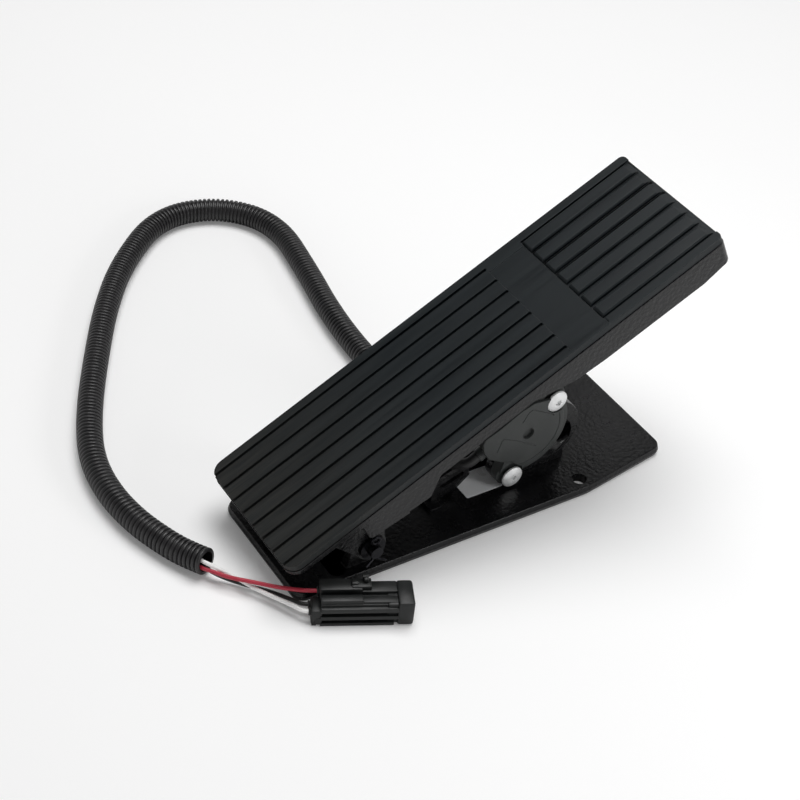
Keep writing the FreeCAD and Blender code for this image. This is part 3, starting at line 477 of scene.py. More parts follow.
def merged_copy(node: str, suffix: str, flatten: bool) -> bpy.types.Object:
    """Copies a CAD node and merges the corners that its triangles share.

    Args:
        node: The CAD node's name.
        suffix: Ending of the new object's name.
        flatten: Whether to join its triangles into flat faces too.

    Returns:
        The new object.
    """
    obj = linked(f"{node}_{suffix}", frame["nodes"][node].data.copy())
    make_active(obj)
    bpy.ops.mesh.customdata_custom_splitnormals_clear()
    with editing(obj):
        bpy.ops.mesh.remove_doubles(threshold=SAME_CORNER)
        if flatten:
            bpy.ops.mesh.dissolve_limited(angle_limit=FLAT)
    return obj


def rounded_copy(node: str, width: float) -> bpy.types.Object:
    """Copies a CAD node as flat faces and rounds its edges.

    Args:
        node: The CAD node's name.
        width: Width of the rounding in metres, or 0 to keep the edges sharp.

    Returns:
        The new object.
    """
    obj = merged_copy(node, "rounded", True)
    soften(obj, width)
    return obj


def across_x(y: float, z: float, x: float = 0.0) -> Matrix:
    """The place, in millimetres, of something that is drawn flat or along Z and stands across X."""
    return FACE_X @ Matrix.Translation((y * MM, z * MM, x * MM))


def turned(name: str, rings: Pairs, place: Matrix, sides: int = 48) -> bpy.types.Object:
    """A solid of revolution, drawn up ring by ring from a filled circle.

    Args:
        name: The object's name.
        rings: Radius and height of each ring in millimetres, from the first circle on.
        place: Where its axis, local Z, goes.
        sides: Points round it.

    Returns:
        The new object, at the origin.
    """
    radius, height = rings[0]
    bpy.ops.mesh.primitive_circle_add(vertices=sides, radius=radius * MM, fill_type="NGON",
                                      location=(0.0, 0.0, height * MM))
    obj = bpy.context.active_object
    obj.name = name
    with editing(obj):
        for wide, high in rings[1:]:
            step, share = (0.0, 0.0, (high - height) * MM), wide / radius
            bpy.ops.mesh.extrude_region_move(TRANSFORM_OT_translate={"value": step})
            bpy.ops.transform.resize(value=(share, share, 1.0), center_override=(0.0, 0.0, 0.0))
            radius, height = wide, high
        bpy.ops.mesh.select_all(action="SELECT")
        bpy.ops.mesh.normals_make_consistent(inside=False)
    bpy.ops.object.transform_apply()
    obj.data.transform(place)
    shade(obj, CAST_EDGE)
    return obj


def slab(name: str, low: Point, high: Point, rim: float) -> bpy.types.Object:
    """A box between two corners in millimetres, with its edges rounded."""
    middle = (Vector(low) + Vector(high)) * MM / 2
    bpy.ops.mesh.primitive_cube_add(size=1.0, location=middle)
    obj = bpy.context.active_object
    obj.name = name
    obj.scale = (Vector(high) - Vector(low)) * MM
    bpy.ops.object.transform_apply()
    apply_modifier(obj, "BEVEL", width=rim * MM, segments=2, limit_method="ANGLE")
    return obj


def rounded_loop(corners: list[Point]) -> list[Pair]:
    """A closed outline with each corner rounded by its own radius.

    Args:
        corners: (u, v, radius) of each corner.

    Returns:
        The outline's points.
    """
    out = []
    count = len(corners)
    for i, (u, v, radius) in enumerate(corners):
        here = Vector((u, v))
        before = (Vector(corners[i - 1][:2]) - here).normalized()
        after = (Vector(corners[(i + 1) % count][:2]) - here).normalized()
        if radius <= 0.0:
            out.append((u, v))
            continue
        half = before.angle(after) / 2
        centre = here + (before + after).normalized() * radius / math.sin(half)
        start = here + before * radius / math.tan(half) - centre
        stop = here + after * radius / math.tan(half) - centre
        for k in range(CORNER_STEPS + 1):
            spoke = start.lerp(stop, k / CORNER_STEPS).normalized() * radius
            out.append(tuple(centre + spoke))
    return out


def plate(name: str, corners: list[Point], thick: float, rim: float, place: Matrix) -> bpy.types.Object:
    """A flat plate with rounded rims.

    Args:
        name: The object's name.
        corners: (u, v, radius) of each corner in millimetres.
        thick: Its thickness in millimetres.
        rim: Rounding of its rims in millimetres.
        place: Where its middle plane, local X and Y, goes.

    Returns:
        The new object, at the origin.
    """
    curve = bpy.data.curves.new(name, "CURVE")
    curve.dimensions = "2D"
    curve.fill_mode = "BOTH"
    curve.extrude = (thick / 2 - rim) * MM
    curve.bevel_depth = rim * MM
    curve.bevel_resolution = 2
    curve.offset = -rim * MM
    loop = rounded_loop(corners)
    spline = curve.splines.new("POLY")
    spline.points.add(len(loop) - 1)
    for point, (u, v) in zip(spline.points, loop):
        point.co = (u * MM, v * MM, 0.0, 1.0)
    spline.use_cyclic_u = True
    obj = meshed(name, curve)
    with editing(obj):
        bpy.ops.mesh.remove_doubles(threshold=SAME_OUTLINE_CORNER)
        bpy.ops.mesh.dissolve_limited(angle_limit=FLAT)
        bpy.ops.mesh.normals_make_consistent(inside=False)
    obj.data.transform(place)
    shade(obj, PLATE_EDGE)
    return obj


def thread(name: str, points: list[Point], radius: float) -> bpy.types.Object:
    """A thin round strand through points in millimetres, used to press a moulded line."""
    curve = bpy.data.curves.new(name, "CURVE")
    curve.dimensions = "3D"
    curve.bevel_depth = radius * MM
    curve.bevel_resolution = 2
    curve.use_fill_caps = True
    spline = curve.splines.new("POLY")
    spline.points.add(len(points) - 1)
    for point, place in zip(spline.points, metres(points)):
        point.co = (*place, 1.0)
    return meshed(name, curve)


def cut(obj: bpy.types.Object, tool: bpy.types.Object) -> None:
    """Takes a tool's volume out of an object and clears the tool away."""
    apply_modifier(obj, "BOOLEAN", object=tool, operation="DIFFERENCE", solver="EXACT")
    bpy.data.objects.remove(tool)


def gather(obj: bpy.types.Object, others: list[bpy.types.Object]) -> None:
    """Joins other objects into one."""
    make_active(obj)
    for other in others:
        other.select_set(True)
    bpy.ops.object.join()


def seat(obj: bpy.types.Object, body: Body, slot: Slot, nodes: tuple[str, ...]) -> None:
    """Dresses a finished piece, rides it on its body and hides the CAD nodes that it stands for.

    Args:
        obj: The finished piece.
        body: The body it rides on.
        slot: Its finish.
        nodes: The CAD nodes that it stands for.
    """
    PAINT.dress(obj, slot)
    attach(obj, body.value)
    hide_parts(*nodes)
    log.info("%s on %s, %d faces", obj.name, body.value, len(getattr(obj.data, "polygons", ())))


def metres(route: list[Point]) -> list[Vector]:
    """A route in millimetres as points in metres."""
    return [Vector(p) * MM for p in route]


def route_curve(name: str, route: list[Point], radius: float = 0.0) -> bpy.types.Object:
    """A smooth curve with a route as its control points.

    Args:
        name: The object's name.
        route: Points in millimetres.
        radius: Radius of its round section in metres, or 0 for a bare line.

    Returns:
        The curve object.
    """
    curve = bpy.data.curves.new(name, "CURVE")
    curve.dimensions = "3D"
    curve.resolution_u = 12
    curve.bevel_depth = radius
    curve.bevel_resolution = 6
    curve.use_fill_caps = radius > 0
    spline = curve.splines.new("NURBS")
    spline.points.add(len(route) - 1)
    for control, place in zip(spline.points, metres(route)):
        control.co = (*place, 1.0)
    spline.order_u = 3
    spline.use_endpoint_u = True
    return linked(name, curve)


def centre_line(name: str, route: list[Point]) -> list[Vector]:
    """The points of the smooth line that a route in millimetres gives."""
    bare = route_curve(name, route)
    mesh = bpy.data.meshes.new_from_object(bare)
    points = [v.co.copy() for v in mesh.vertices]
    bpy.data.meshes.remove(mesh)
    bpy.data.objects.remove(bare)
    return points


def length_of(line: list[Vector]) -> float:
    """A line's length in metres."""
    return sum((b - a).length for a, b in zip(line, line[1:]))


def spaced(points: list[Vector], step: float) -> list[Vector]:
    """Points a step apart along a line.

    Args:
        points: The line's points.
        step: The step in metres.

    Returns:
        The new points, with the line's two ends among them.
    """
    along = [0.0]
    for a, b in zip(points, points[1:]):
        along.append(along[-1] + (b - a).length)
    count = max(2, round(along[-1] / step))
    out, i = [], 0
    for k in range(count + 1):
        at = along[-1] * k / count
        while i < len(points) - 2 and along[i + 1] < at:
            i += 1
        share = (at - along[i]) / max(along[i + 1] - along[i], 1e-9)
        out.append(points[i].lerp(points[i + 1], min(max(share, 0.0), 1.0)))
    return out


def squares_to(line: list[Vector]) -> list[tuple[Vector, Vector]]:
    """Two directions square to a line at each of its points, carried along without twist."""
    pairs = []
    side = Vector((0.0, 0.0, 1.0))
    for i in range(len(line)):
        ahead = (line[min(i + 1, len(line) - 1)] - line[max(i - 1, 0)]).normalized()
        side = (side - ahead * side.dot(ahead)).normalized()
        pairs.append((side.copy(), ahead.cross(side)))
    return pairs


@dataclass(frozen=True)
class Lamp:
    """A square soft lamp.

    Attributes:
        name: Its name.
        place: Where it hangs.
        size: Its side in metres.
        power: Its power in watts.
    """

    name: str
    place: Point
    size: float
    power: float


@dataclass
class Studio:
    """Camera, lamps and floor.

    Attributes:
        lens: Focal length in millimetres on a 36 mm wide sensor.
        eye: The camera's place.
        ahead: The way that it looks.
        upward: Its upward direction.
        sky_low: Strength of the sky's light at the horizon.
        sky_high: Its strength from sky_top upwards.
        sky_top: Height of that band, as the Z of a unit direction.
        lamps: A key lamp overhead, a faint one beyond the toe end and one that catches the label.
        aim: The point that the lamps face.
        floor_white: The floor's grey value.
        floor_glow: Light of its own that the floor shows to the camera.
    """

    lens: float = 80.21
    eye: Point = (0.62103, -0.48938, 0.71993)
    ahead: Point = (-0.6208, 0.4594, -0.6353)
    upward: Point = (-0.5779, 0.2795, 0.7668)
    sky_low: float = 1.0
    sky_high: float = 0.14
    sky_top: float = 0.45
    lamps: tuple[Lamp, ...] = (
        Lamp("key", (-0.3, 0.3, 2.0), 1.4, 32.0),
        Lamp("toe_light", (-0.20, 0.335, 0.225), 0.09, 0.02),
        Lamp("label_light", (0.75, 0.45, 0.5), 0.3, 2.0),
    )
    aim: Point = (-0.05, 0.0, 0.05)
    floor_white: float = 0.9
    floor_glow: float = 0.12

    def camera(self) -> None:
        """Places the camera at the photograph's angle."""
        data = bpy.data.cameras.new("camera")
        data.lens = self.lens
        data.sensor_width = 36.0
        data.dof.use_dof = False
        data.clip_start = 0.01
        data.clip_end = 50.0
        camera = linked("camera", data)
        ahead = Vector(self.ahead).normalized()
        right = ahead.cross(Vector(self.upward)).normalized()
        upward = right.cross(ahead)
        turn = Matrix((right, upward, -ahead)).transposed().to_4x4()
        camera.matrix_world = Matrix.Translation(Vector(self.eye)) @ turn
        bpy.context.scene.camera = camera

    def sky(self) -> None:
        """Lights the object evenly, brighter near the horizon than overhead, and shows white."""
        world = bpy.data.worlds.new("studio")
        world.use_nodes = True
        bpy.context.scene.world = world
        tree = world.node_tree
        background = tree.nodes["Background"]
        background.inputs["Color"].default_value = (1.0, 1.0, 1.0, 1.0)
        place = tree.nodes.new("ShaderNodeTexCoord")
        split = tree.nodes.new("ShaderNodeSeparateXYZ")
        ramp = tree.nodes.new("ShaderNodeMapRange")
        for key, number in (("From Max", self.sky_top), ("To Min", self.sky_low), ("To Max", self.sky_high)):
            ramp.inputs[key].default_value = number
        rays = tree.nodes.new("ShaderNodeLightPath")
        white = tree.nodes.new("ShaderNodeMix")
        tree.links.new(place.outputs["Generated"], split.inputs["Vector"])
        tree.links.new(split.outputs["Z"], ramp.inputs["Value"])
        tree.links.new(rays.outputs["Is Camera Ray"], white.inputs["Factor"])
        tree.links.new(ramp.outputs["Result"], white.inputs["A"])
        white.inputs["B"].default_value = 1.0
        tree.links.new(white.outputs["Result"], background.inputs["Strength"])

    def hang(self, lamp: Lamp) -> None:
        """Hangs a lamp that faces the object and that the camera doesn't see."""
        data = bpy.data.lights.new(lamp.name, "AREA")
        data.shape = "SQUARE"
        data.size = lamp.size
        data.energy = lamp.power
        obj = linked(lamp.name, data)
        obj.location = lamp.place
        obj.visible_camera = False
        ahead = Vector(self.aim) - Vector(lamp.place)
        obj.rotation_mode = "QUATERNION"
        obj.rotation_quaternion = ahead.to_track_quat("-Z", "Y")

    def floor(self) -> None:
        """A wide pale floor."""
        bpy.ops.mesh.primitive_plane_add(size=12.0, location=(0.0, 0.0, 0.0))
        floor = bpy.context.active_object
        floor.name = "floor"
        sheet = NodeSheet("floor_white")
        tone = sheet.noise(sheet.mapped((2.0, 2.0, 2.0)))
        colour = sheet.blend(tone, (self.floor_white,) * 3, (self.floor_white + 0.01,) * 3)
        sheet.join(colour, sheet.shader.inputs["Base Color"])
        sheet.set("Roughness", 0.8)
        sheet.set("Specular IOR Level", 0.2)
        sheet.set("Emission Color", (1.0, 1.0, 1.0, 1.0))
        rays = sheet.add("ShaderNodeLightPath")
        sheet.join(sheet.span(rays.outputs["Is Camera Ray"], 0.0, self.floor_glow, 0.0, 1.0),
                   sheet.shader.inputs["Emission Strength"])
        floor.data.materials.append(sheet.material)

    def build(self) -> None:
        """Makes camera, sky, lamps and floor."""
        bpy.context.scene.view_settings.view_transform = "Standard"
        self.camera()
        self.sky()
        for lamp in self.lamps:
            self.hang(lamp)
        self.floor()


@dataclass
class Loom:
    """The corrugated conduit and the three wires that leave it.

    Attributes:
        pitch: Distance between two rings.
        crest: Radius over a ring.
        valley: Radius between rings.
        bore: Radius inside.
        around: Points round the tube.
        wire: Radius of each wire.
        conduit_route: The conduit's route in millimetres, from under the treadle to its bare end.
        red_route: The red wire's route, from the conduit's bore to its way in the connector.
        white_route: The white wire's.
        black_route: The black wire's.
    """

    pitch: float = 3.0 * MM
    crest: float = 8.0 * MM
    valley: float = 6.9 * MM
    bore: float = 6.0 * MM
    around: int = 28
    wire: float = 1.2 * MM
    conduit_route: list[Point] = field(default_factory=lambda: [
        (-20.0, 30.0, 17.5), (-48.0, 30.3, 17.5), (-80.0, 28.8, 13.2), (-112.0, 27.8, 8.5),
        (-143.0, 28.9, 8.0), (-178.0, 32.8, 8.0), (-215.0, 40.3, 8.0), (-278.6, 50.4, 8.0),
        (-314.5, 22.1, 8.0), (-318.8, -23.4, 8.0), (-279.0, -69.0, 8.0), (-240.0, -99.0, 8.0),
        (-195.0, -126.5, 8.0), (-150.0, -152.0, 8.0), (-112.0, -168.5, 8.0), (-80.0, -172.8, 8.0),
        (-50.0, -169.5, 8.0), (-24.0, -160.8, 8.0), (-11.2, -154.6, 8.2), (-0.6, -149.4, 10.0),
    ])
    red_route: list[Point] = field(default_factory=lambda: [
        (-9.8, -156.8, 6.1), (1.5, -153.3, 8.8), (6.0, -149.4, 8.6), (14.6, -143.6, 8.8),
        (25.0, -133.7, 10.0), (36.0, -124.2, 11.5), (42.7, -117.6, 12.9), (46.8, -112.8, 13.4),
        (50.03, -106.08, 13.4),
    ])
    white_route: list[Point] = field(default_factory=lambda: [
        (-11.2, -155.4, 10.0), (0.3, -152.2, 12.4), (6.3, -147.0, 10.7), (12.6, -139.9, 6.6),
        (19.6, -136.1, 6.0), (27.5, -132.9, 6.4), (40.0, -126.2, 7.0), (49.3, -121.4, 7.8),
        (55.61, -118.82, 8.2), (57.36, -115.22, 8.2),
    ])
    black_route: list[Point] = field(default_factory=lambda: [
        (-11.7, -152.8, 5.7), (0.7, -150.4, 6.3), (9.0, -143.6, 3.4), (19.5, -134.3, 2.6),
        (29.5, -126.9, 4.2), (38.6, -122.3, 6.0), (45.8, -119.2, 7.8), (50.63, -116.94, 8.2),
        (52.6, -112.9, 8.2),
    ])

    def ring_radii(self) -> list[Pair]:
        """One ring's profile as (share of the pitch, radius)."""
        high, low = self.crest, self.valley
        shoulder = high - 0.25 * MM
        return [(0.0, low), (0.22, low), (0.32, shoulder), (0.42, high), (0.80, high), (0.90, shoulder)]

    def conduit(self) -> None:
        """Builds the ringed tube with its bore open at both ends."""
        line = spaced(centre_line("conduit_line", self.conduit_route), self.pitch)
        frames = squares_to(line)
        points: list[Vector] = []
        for i in range(len(line) - 1):
            for share, radius in self.ring_radii():
                centre = line[i].lerp(line[i + 1], share)
                points += self.circle(centre, frames[i], radius)
        for i in [*range(len(line) - 1, 0, -3), 0]:
            points += self.circle(line[i], frames[i], self.bore)
        faces = []
        for here in range(0, len(points), self.around):
            there = (here + self.around) % len(points)
            for k in range(self.around):
                after = (k + 1) % self.around
                faces.append((here + k, there + k, there + after, here + after))
        mesh = bpy.data.meshes.new("conduit_tube")
        mesh.from_pydata([tuple(p) for p in points], [], faces)
        mesh.update()
        tube = linked("conduit_tube", mesh)
        with editing(tube):
            bpy.ops.mesh.normals_make_consistent(inside=False)
        shade(tube, COIL_EDGE)
        seat(tube, Body.BASE, Slot.LOOM_PLASTIC, ("conduit",))

    def circle(self, centre: Vector, square: tuple[Vector, Vector], radius: float) -> list[Vector]:
        """Points of one ring round the line."""
        up, side = square[0] * radius, square[1] * radius
        angles = [2 * math.pi * k / self.around for k in range(self.around)]
        return [centre + up * math.cos(a) + side * math.sin(a) for a in angles]

    def wire_piece(self, node: str, route: list[Point], slot: Slot) -> None:
        """Builds one wire from the conduit to its way in the connector.

        Args:
            node: The CAD node that it stands for.
            route: Its points in millimetres.
            slot: Its finish.
        """
        wire = route_curve(f"{node}_skin", route, self.wire)
        length = length_of(centre_line(f"{node}_line", route))
        seat(wire, Body.BASE, slot, (node,))
        log.info("%s %.3f m", node, length)

    def build(self, plug: bpy.types.Object) -> None:
        """Makes the conduit and its wires."""
        self.conduit()
        self.wire_piece("wire_red", self.red_route, Slot.RED_WIRE)
        self.wire_piece("wire_white", self.white_route, Slot.WHITE_WIRE)
        self.wire_piece("wire_black", self.black_route, Slot.BLACK_WIRE)


@dataclass
class RoundedCastings:
    """The large rigid pieces, made from their CAD nodes with rounded edges.

    The treadle's skirts get their waist as well, and the pedestal's ring its small hole.

    Attributes:
        pieces: For each node its body, finish and rounding in metres.
        below_skirts: What lies under the treadle's skirts, as (along, up, corner radius) in millimetres.
        ring_at: Middle of the pedestal's ring in Y and Z.
        ring_web: Rings of the disc that fills it.
        bore_at: Middle of the small hole in Y and Z.
        ring_bore: Rings of that hole, which opens out towards +X.
    """

    pieces: dict[str, tuple[Body, Slot, float]] = field(default_factory=lambda: {
        "treadle": (Body.TREADLE, Slot.BLACK_COAT, 0.5 * MM),
        "base_plate": (Body.BASE, Slot.BLACK_COAT, 0.5 * MM),
        "sensor_body": (Body.BASE, Slot.GREY_PLASTIC, 0.0),
        "treadle_pad": (Body.TREADLE, Slot.PAD_RUBBER, 0.3 * MM),
    })
    below_skirts: list[Point] = field(default_factory=lambda: [
        (74.0, -21.5, 0.0), (88.8, -22.8, 2.0), (99.5, -12.6, 3.0), (166.0, -12.6, 12.0),
        (193.7, -20.5, 20.0), (214.0, -22.0, 20.0), (286.0, -22.8, 0.0), (302.6, -20.0, 0.0),
        (302.6, -60.0, 0.0), (74.0, -60.0, 0.0),
    ])
    ring_at: Pair = (72.0, 32.0)
    ring_web: Pairs = ((14.6, 13.4), (14.6, 18.6))
    bore_at: Pair = (80.3, 32.9)
    ring_bore: Pairs = ((6.7, 10.0), (6.7, 15.6), (7.9, 22.0))

    def build(self) -> None:
        """Makes them all, and the pedestal with its smaller ring."""
        for node, (body, slot, width) in self.pieces.items():
            obj = rounded_copy(node, width)
            if node == "treadle":
                self.trim_skirts(obj)
            seat(obj, body, slot, (node,))
        pedestal = rounded_copy("pedestal", 0.6 * MM)
        self.narrow_ring(pedestal)
        seat(pedestal, Body.BASE, Slot.BLACK_COAT, ("pedestal",))

    def trim_skirts(self, treadle: bpy.types.Object) -> None:
        """Cuts the skirts' lower edges to their waisted line."""
        place = TREADLE @ FACE_X
        cut(treadle, plate("skirt_cutter", self.below_skirts, 120.0, 0.0, place))
        soften(treadle, 0.0)

    def narrow_ring(self, pedestal: bpy.types.Object) -> None:
        """Fills the ring's wide hole and leaves the smaller one that the real ring has."""
        web = turned("ring_web", self.ring_web, across_x(*self.ring_at))
        cut(web, turned("ring_bore", self.ring_bore, across_x(*self.bore_at)))
        gather(pedestal, [web])


@dataclass
class SensorFront:
    """The sensor's cap, with its moulded lines, and the two flanged screws beside it.

    Attributes:
        front: How far towards +X the cap's front lies, in millimetres.
        thick: The cap's thickness in millimetres.
        centre: Middle of the cap's round end, in Y and Z.
        round_r: Radius of that end.
        flank: The rest of the cap's outline as (Y, Z, corner radius), going round from the top.
        lines: The moulded lines, each as points in Y and Z.
        rim_r: Radius of the moulded line along the round end.
        line_r: Half a moulded line's width.
        bore_r: Radius of the hole in the round end, and at its mouth.
        screws: The screws' centres in Y and Z.
        screw_seat: Rings of the seat that the cap has for the upper screw.
        screw_head: Rings of a screw's flange and dome.
        lobes: The recess's middle radius, how far its lobes swing and how many there are.
        recess_x: The middle of the recess's cutter.
    """

    front: float = 24.2
    thick: float = 2.2
    centre: Pair = (48.3, 48.4)
    round_r: float = 25.6
    flank: list[Point] = field(default_factory=lambda: [
        (48.9, 70.9, 2.0), (40.2, 67.8, 3.0), (25.4, 58.8, 4.0), (17.0, 55.3, 2.5), (15.6, 51.8, 1.5),
        (17.1, 45.3, 3.0), (21.4, 38.3, 3.0), (31.6, 32.2, 3.0), (39.9, 29.4, 2.0),
    ])
    lines: list[list[Pair]] = field(default_factory=lambda: [
        [(42.2, 58.7), (45.1, 64.0), (46.2, 65.6), (48.5, 66.6), (57.7, 61.7), (65.3, 56.5)],
        [(26.4, 41.7), (28.3, 46.9), (29.0, 49.9), (30.6, 51.0), (44.1, 44.1), (55.4, 36.4)],
    ])
    rim_r: float = 22.3
    line_r: float = 0.42
    bore_r: Pair = (3.7, 4.3)
    screws: Pairs = ((66.9, 65.2), (42.6, 15.5))
    screw_seat: Pairs = ((7.4, 22.3), (7.4, 30.0))
    screw_head: Pairs = ((7.1, 22.2), (7.1, 22.9), (6.9, 23.3), (6.4, 23.6), (5.2, 24.1), (4.0, 24.5),
                         (3.0, 24.7), (2.5, 24.75))
    lobes: tuple[float, float, int] = (2.0, 0.45, 6)
    recess_x: float = 25.5

    def arc(self, radius: float, degrees: range) -> list[Pair]:
        """Points round the cap's round end."""
        y, z = self.centre
        spokes = [math.radians(a) for a in degrees]
        return [(y + radius * math.cos(a), z + radius * math.sin(a)) for a in spokes]

    def cap(self) -> None:
        """Builds the cap with its hole, its lines and its seat for the upper screw."""
        outline = [(y, z, 0.0) for y, z in self.arc(self.round_r, range(-92, 57, 4))]
        cap = plate("sensor_cap_skin", outline + self.flank, self.thick, 0.5,
                    across_x(0.0, 0.0, self.front - self.thick / 2))
        narrow, wide = self.bore_r
        bore = ((narrow, 20.0), (narrow, self.front - 0.5), (wide, self.front + 0.5))
        cut(cap, turned("cap_bore", bore, across_x(*self.centre)))
        rim = self.arc(self.rim_r, range(-112, 41, 4))
        for number, line in enumerate([*self.lines, rim]):
            cut(cap, thread(f"cap_line_{number}", [(self.front, y, z) for y, z in line], self.line_r))
        cut(cap, turned("screw_seat", self.screw_seat, across_x(*self.screws[0])))
        shade(cap, PLATE_EDGE)
        seat(cap, Body.BASE, Slot.GREY_PLASTIC, ("sensor_cap",))

    def screw(self, number: int, place: Pair) -> bpy.types.Object:
        """Builds one low domed screw with its flange and its lobed recess."""
        head = turned(f"sensor_screw_{number}", self.screw_head, across_x(*place))
        middle, swing, count = self.lobes
        outline = []
        for k in range(36):
            spoke = math.radians(10 * k)
            radius = middle + swing * math.cos(count * spoke)
            outline.append((radius * math.cos(spoke), radius * math.sin(spoke), 0.0))
        cut(head, plate("screw_recess", outline, 5.0, 0.0, across_x(*place, self.recess_x)))
        return head

    def build(self) -> None:
        """Makes the cap and both screws."""
        self.cap()
        first, second = (self.screw(number, place) for number, place in enumerate(self.screws))
        gather(first, [second])
        shade(first, HEAD_EDGE)
        first.name = "sensor_screw_heads"
        seat(first, Body.BASE, Slot.BRIGHT_ZINC, ("sensor_screws",))


@dataclass
class CableGuide:
    """The slotted plate that leads the sensor's cord down to the base.

    Attributes:
        outline: The upright plate as (Y, Z, corner radius).
        near: How far towards +X its face lies, in millimetres.
        thick: Its thickness in millimetres.
        slot: Centre, incline in degrees, length and width of the long slot.
        foot: Lowest and highest corner of its foot on the base.
    """

    outline: list[Point] = field(default_factory=lambda: [
        (-5.5, 6.6, 0.0), (9.9, 12.6, 2.0), (17.8, 19.8, 1.5), (16.7, 23.7, 1.5), (12.4, 31.2, 2.0),
        (-3.3, 25.7, 2.0), (-8.0, 15.5, 1.5), (-8.6, 12.0, 1.0), (-8.6, 6.6, 0.0),
    ])
    near: float = 13.4
    thick: float = 3.0
    slot: tuple[float, ...] = (4.8, 20.3, 21.2, 17.4, 3.0)
    foot: Box = ((1.5, -13.0, 6.5), (20.0, -4.5, 9.1))

    def opening(self) -> bpy.types.Object:
        """The slot's cutter."""
        y, z, incline, length, width = self.slot
        half, side = length / 2, width / 2
        ends = ((-half, -side), (half, -side), (half, side), (-half, side))
        corners = [(u, v, side * 0.9) for u, v in ends]
        place = across_x(y, z, self.near) @ Matrix.Rotation(math.radians(incline), 4, "Z")
        return plate("slot", corners, 12.0, 0.0, place)

    def build(self) -> None:
        """Makes the plate and its foot."""
        middle = self.near - self.thick / 2
        guide = plate("cable_guide_skin", self.outline, self.thick, 0.45, across_x(0.0, 0.0, middle))
        cut(guide, self.opening())
        gather(guide, [slab("guide_foot", *self.foot, 0.4)])
        shade(guide, PLATE_EDGE)
        seat(guide, Body.BASE, Slot.BLACK_COAT, ("cable_guide",))


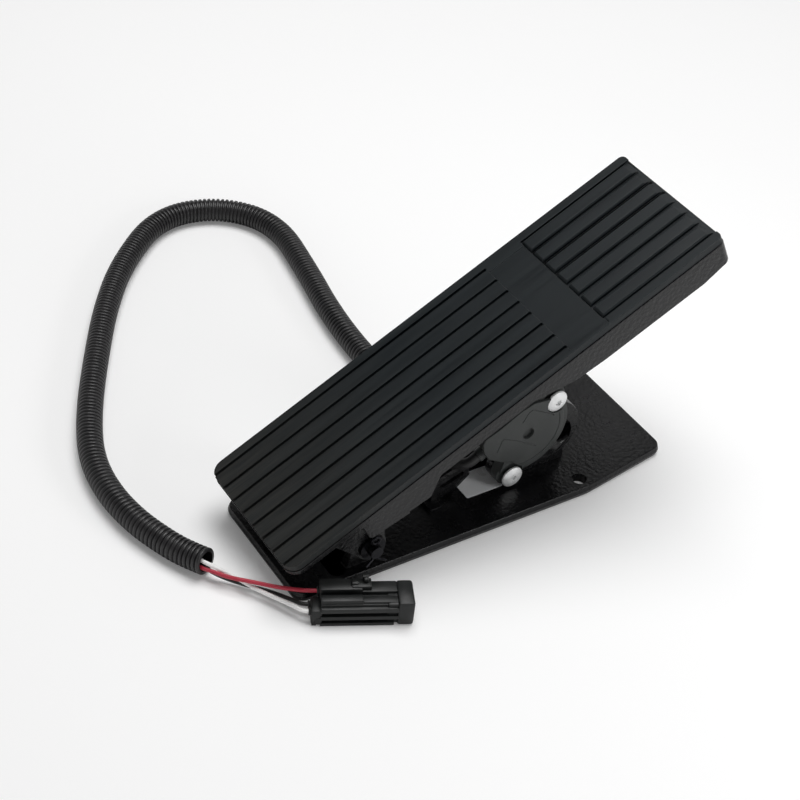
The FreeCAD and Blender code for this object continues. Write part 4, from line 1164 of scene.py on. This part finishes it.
@dataclass
class ConnectorPlug:
    """The three-way connector, drawn along its own length with its rear at X = 0.

    Attributes:
        slabs: Lowest corner, highest corner and rim rounding of each moulded block.
        tube: Outside of the open front as two corners.
        collar: Outside of the thicker band round its mouth as two corners.
        socket: Inside of the open front as two corners.
        ways: Y and Z of the three wires.
        seal_starts: Where along the connector each wire's seal begins.
        seal_rings: Radius and distance from its beginning of each ring of a seal.
    """

    slabs: list[tuple[Point, Point, float]] = field(default_factory=lambda: [
        ((5.0, -7.2, 1.6), (43.0, 8.6, 14.6), 0.5),
        ((5.0, 0.6, 8.0), (28.5, 9.3, 18.8), 0.7),
        ((27.5, 0.6, 8.0), (48.0, 9.1, 16.9), 0.9),
        ((5.0, -6.6, 8.0), (28.5, -1.4, 17.2), 0.6),
        ((27.5, -6.4, 8.0), (48.0, -1.6, 15.9), 0.6),
        ((5.0, -9.3, 9.9), (48.0, -4.0, 13.2), 0.5),
        ((5.0, -9.3, 4.6), (48.0, -4.0, 7.4), 0.5),
        ((5.0, -9.3, 0.2), (46.0, -4.0, 2.4), 0.5),
        ((5.0, 4.0, 9.6), (48.0, 9.9, 13.4), 0.5),
        ((5.0, 4.0, 4.3), (48.0, 9.9, 7.6), 0.5),
        ((0.0, -8.6, 1.0), (6.0, 3.2, 11.4), 0.8),
        ((2.5, -9.0, 1.0), (6.0, 6.0, 6.0), 0.8),
        ((0.4, -8.8, 0.3), (3.0, -6.0, 2.6), 0.4),
        ((22.4, 1.8, 15.0), (33.5, 8.6, 19.6), 0.6),
        ((22.4, 3.4, 18.0), (26.5, 7.0, 20.6), 0.5),
        ((29.2, 4.6, 18.0), (31.8, 8.8, 22.4), 0.5),
        ((28.4, 6.2, 21.0), (31.8, 8.8, 23.0), 0.4),
    ])
    tube: Box = ((42.0, -7.9, 0.8), (57.0, 8.7, 15.3))
    collar: Box = ((47.5, -9.4, 0.2), (56.8, 9.5, 17.3))
    socket: Box = ((42.6, -7.2, 2.4), (60.0, 7.9, 14.6))
    ways: Pairs = ((5.3, 13.4), (0.0, 8.2), (-5.3, 8.2))
    seal_starts: Point = (3.6, -1.4, -1.4)
    seal_rings: Pairs = ((2.1, 0.0), (2.3, 0.5), (2.0, 1.0), (2.3, 1.5), (2.3, 3.0))

    def build(self) -> bpy.types.Object:
        """Makes the body, the open front and the wire seals.

        Returns:
            The body.
        """
        body = slab("connector_skin", *self.tube, 0.8)
        collar = slab("mouth_collar", *self.collar, 1.6)
        for piece in (body, collar):
            cut(piece, slab("socket_hollow", *self.socket, 0.8))
        gather(body, [collar, *(slab("block", low, high, rim) for low, high, rim in self.slabs)])
        body.data.transform(CONNECTOR)
        shade(body, CAST_EDGE)
        seat(body, Body.BASE, Slot.CONNECTOR_PLASTIC, ("connector_housing", "connector_lock"))
        seals = []
        for number, (way, start) in enumerate(zip(self.ways, self.seal_starts)):
            rings = tuple((radius, start + along) for radius, along in self.seal_rings)
            seals.append(turned(f"wire_seal_{number}", rings, CONNECTOR @ across_x(*way), 24))
        gather(seals[0], seals[1:])
        seat(seals[0], Body.BASE, Slot.BLACK_RUBBER, ("connector_seals",))
        return body


@dataclass
class ReturnSprings:
    """The two torsion springs, wound up by the lever round the shaft.

    Attributes:
        ends: For each node the X of its end on the base and of its end on the lever, in millimetres; the X
            values are not used.
        shaft: Y and Z of the shaft's axis in metres; not used.
    """

    ends: dict[str, Pair] = field(default_factory=lambda: {
        "far_spring": (-17.7, -13.3),
        "near_spring": (5.7, -2.7),
    })
    shaft: Pair = (0.0486, 0.0479)

    def build(self) -> None:
        """Makes both as smooth-shaded copies of their CAD nodes."""
        for node, (held, driven) in self.ends.items():
            spring = merged_copy(node, "coil", False)
            shade(spring, COIL_EDGE)
            PAINT.dress(spring, Slot.SPRING_STEEL)
            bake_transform(spring)
            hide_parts(node)


@dataclass
class BareNodes:
    """CAD nodes that are shown as they are, each in its own finish.

    Attributes:
        darker: Nodes dressed dark steel instead of their slot, as painted shade for their place under the
            treadle.
    """

    darker: tuple[str, ...] = ("hinge_pin", "cotter_pin", "hinge_washers")

    def build(self) -> None:
        """Gives every node its finish."""
        slots = {row["node"]: Slot(row["material_slot"]) for row in frame["record"]["subparts"]}
        # Painted shade: the hinge pin, cotter pin and washers are given dark steel.
        slots.update({node: Slot.DARK_STEEL for node in self.darker})
        for node, obj in frame["nodes"].items():
            PAINT.dress(obj, slots[node])


def main() -> None:
    """Builds the studio and each sub-assembly in order."""
    Studio().build()
    BareNodes().build()
    RoundedCastings().build()
    SensorFront().build()
    CableGuide().build()
    ReturnSprings().build()
    Loom().build(ConnectorPlug().build())


if __name__ == "__main__":
    main()
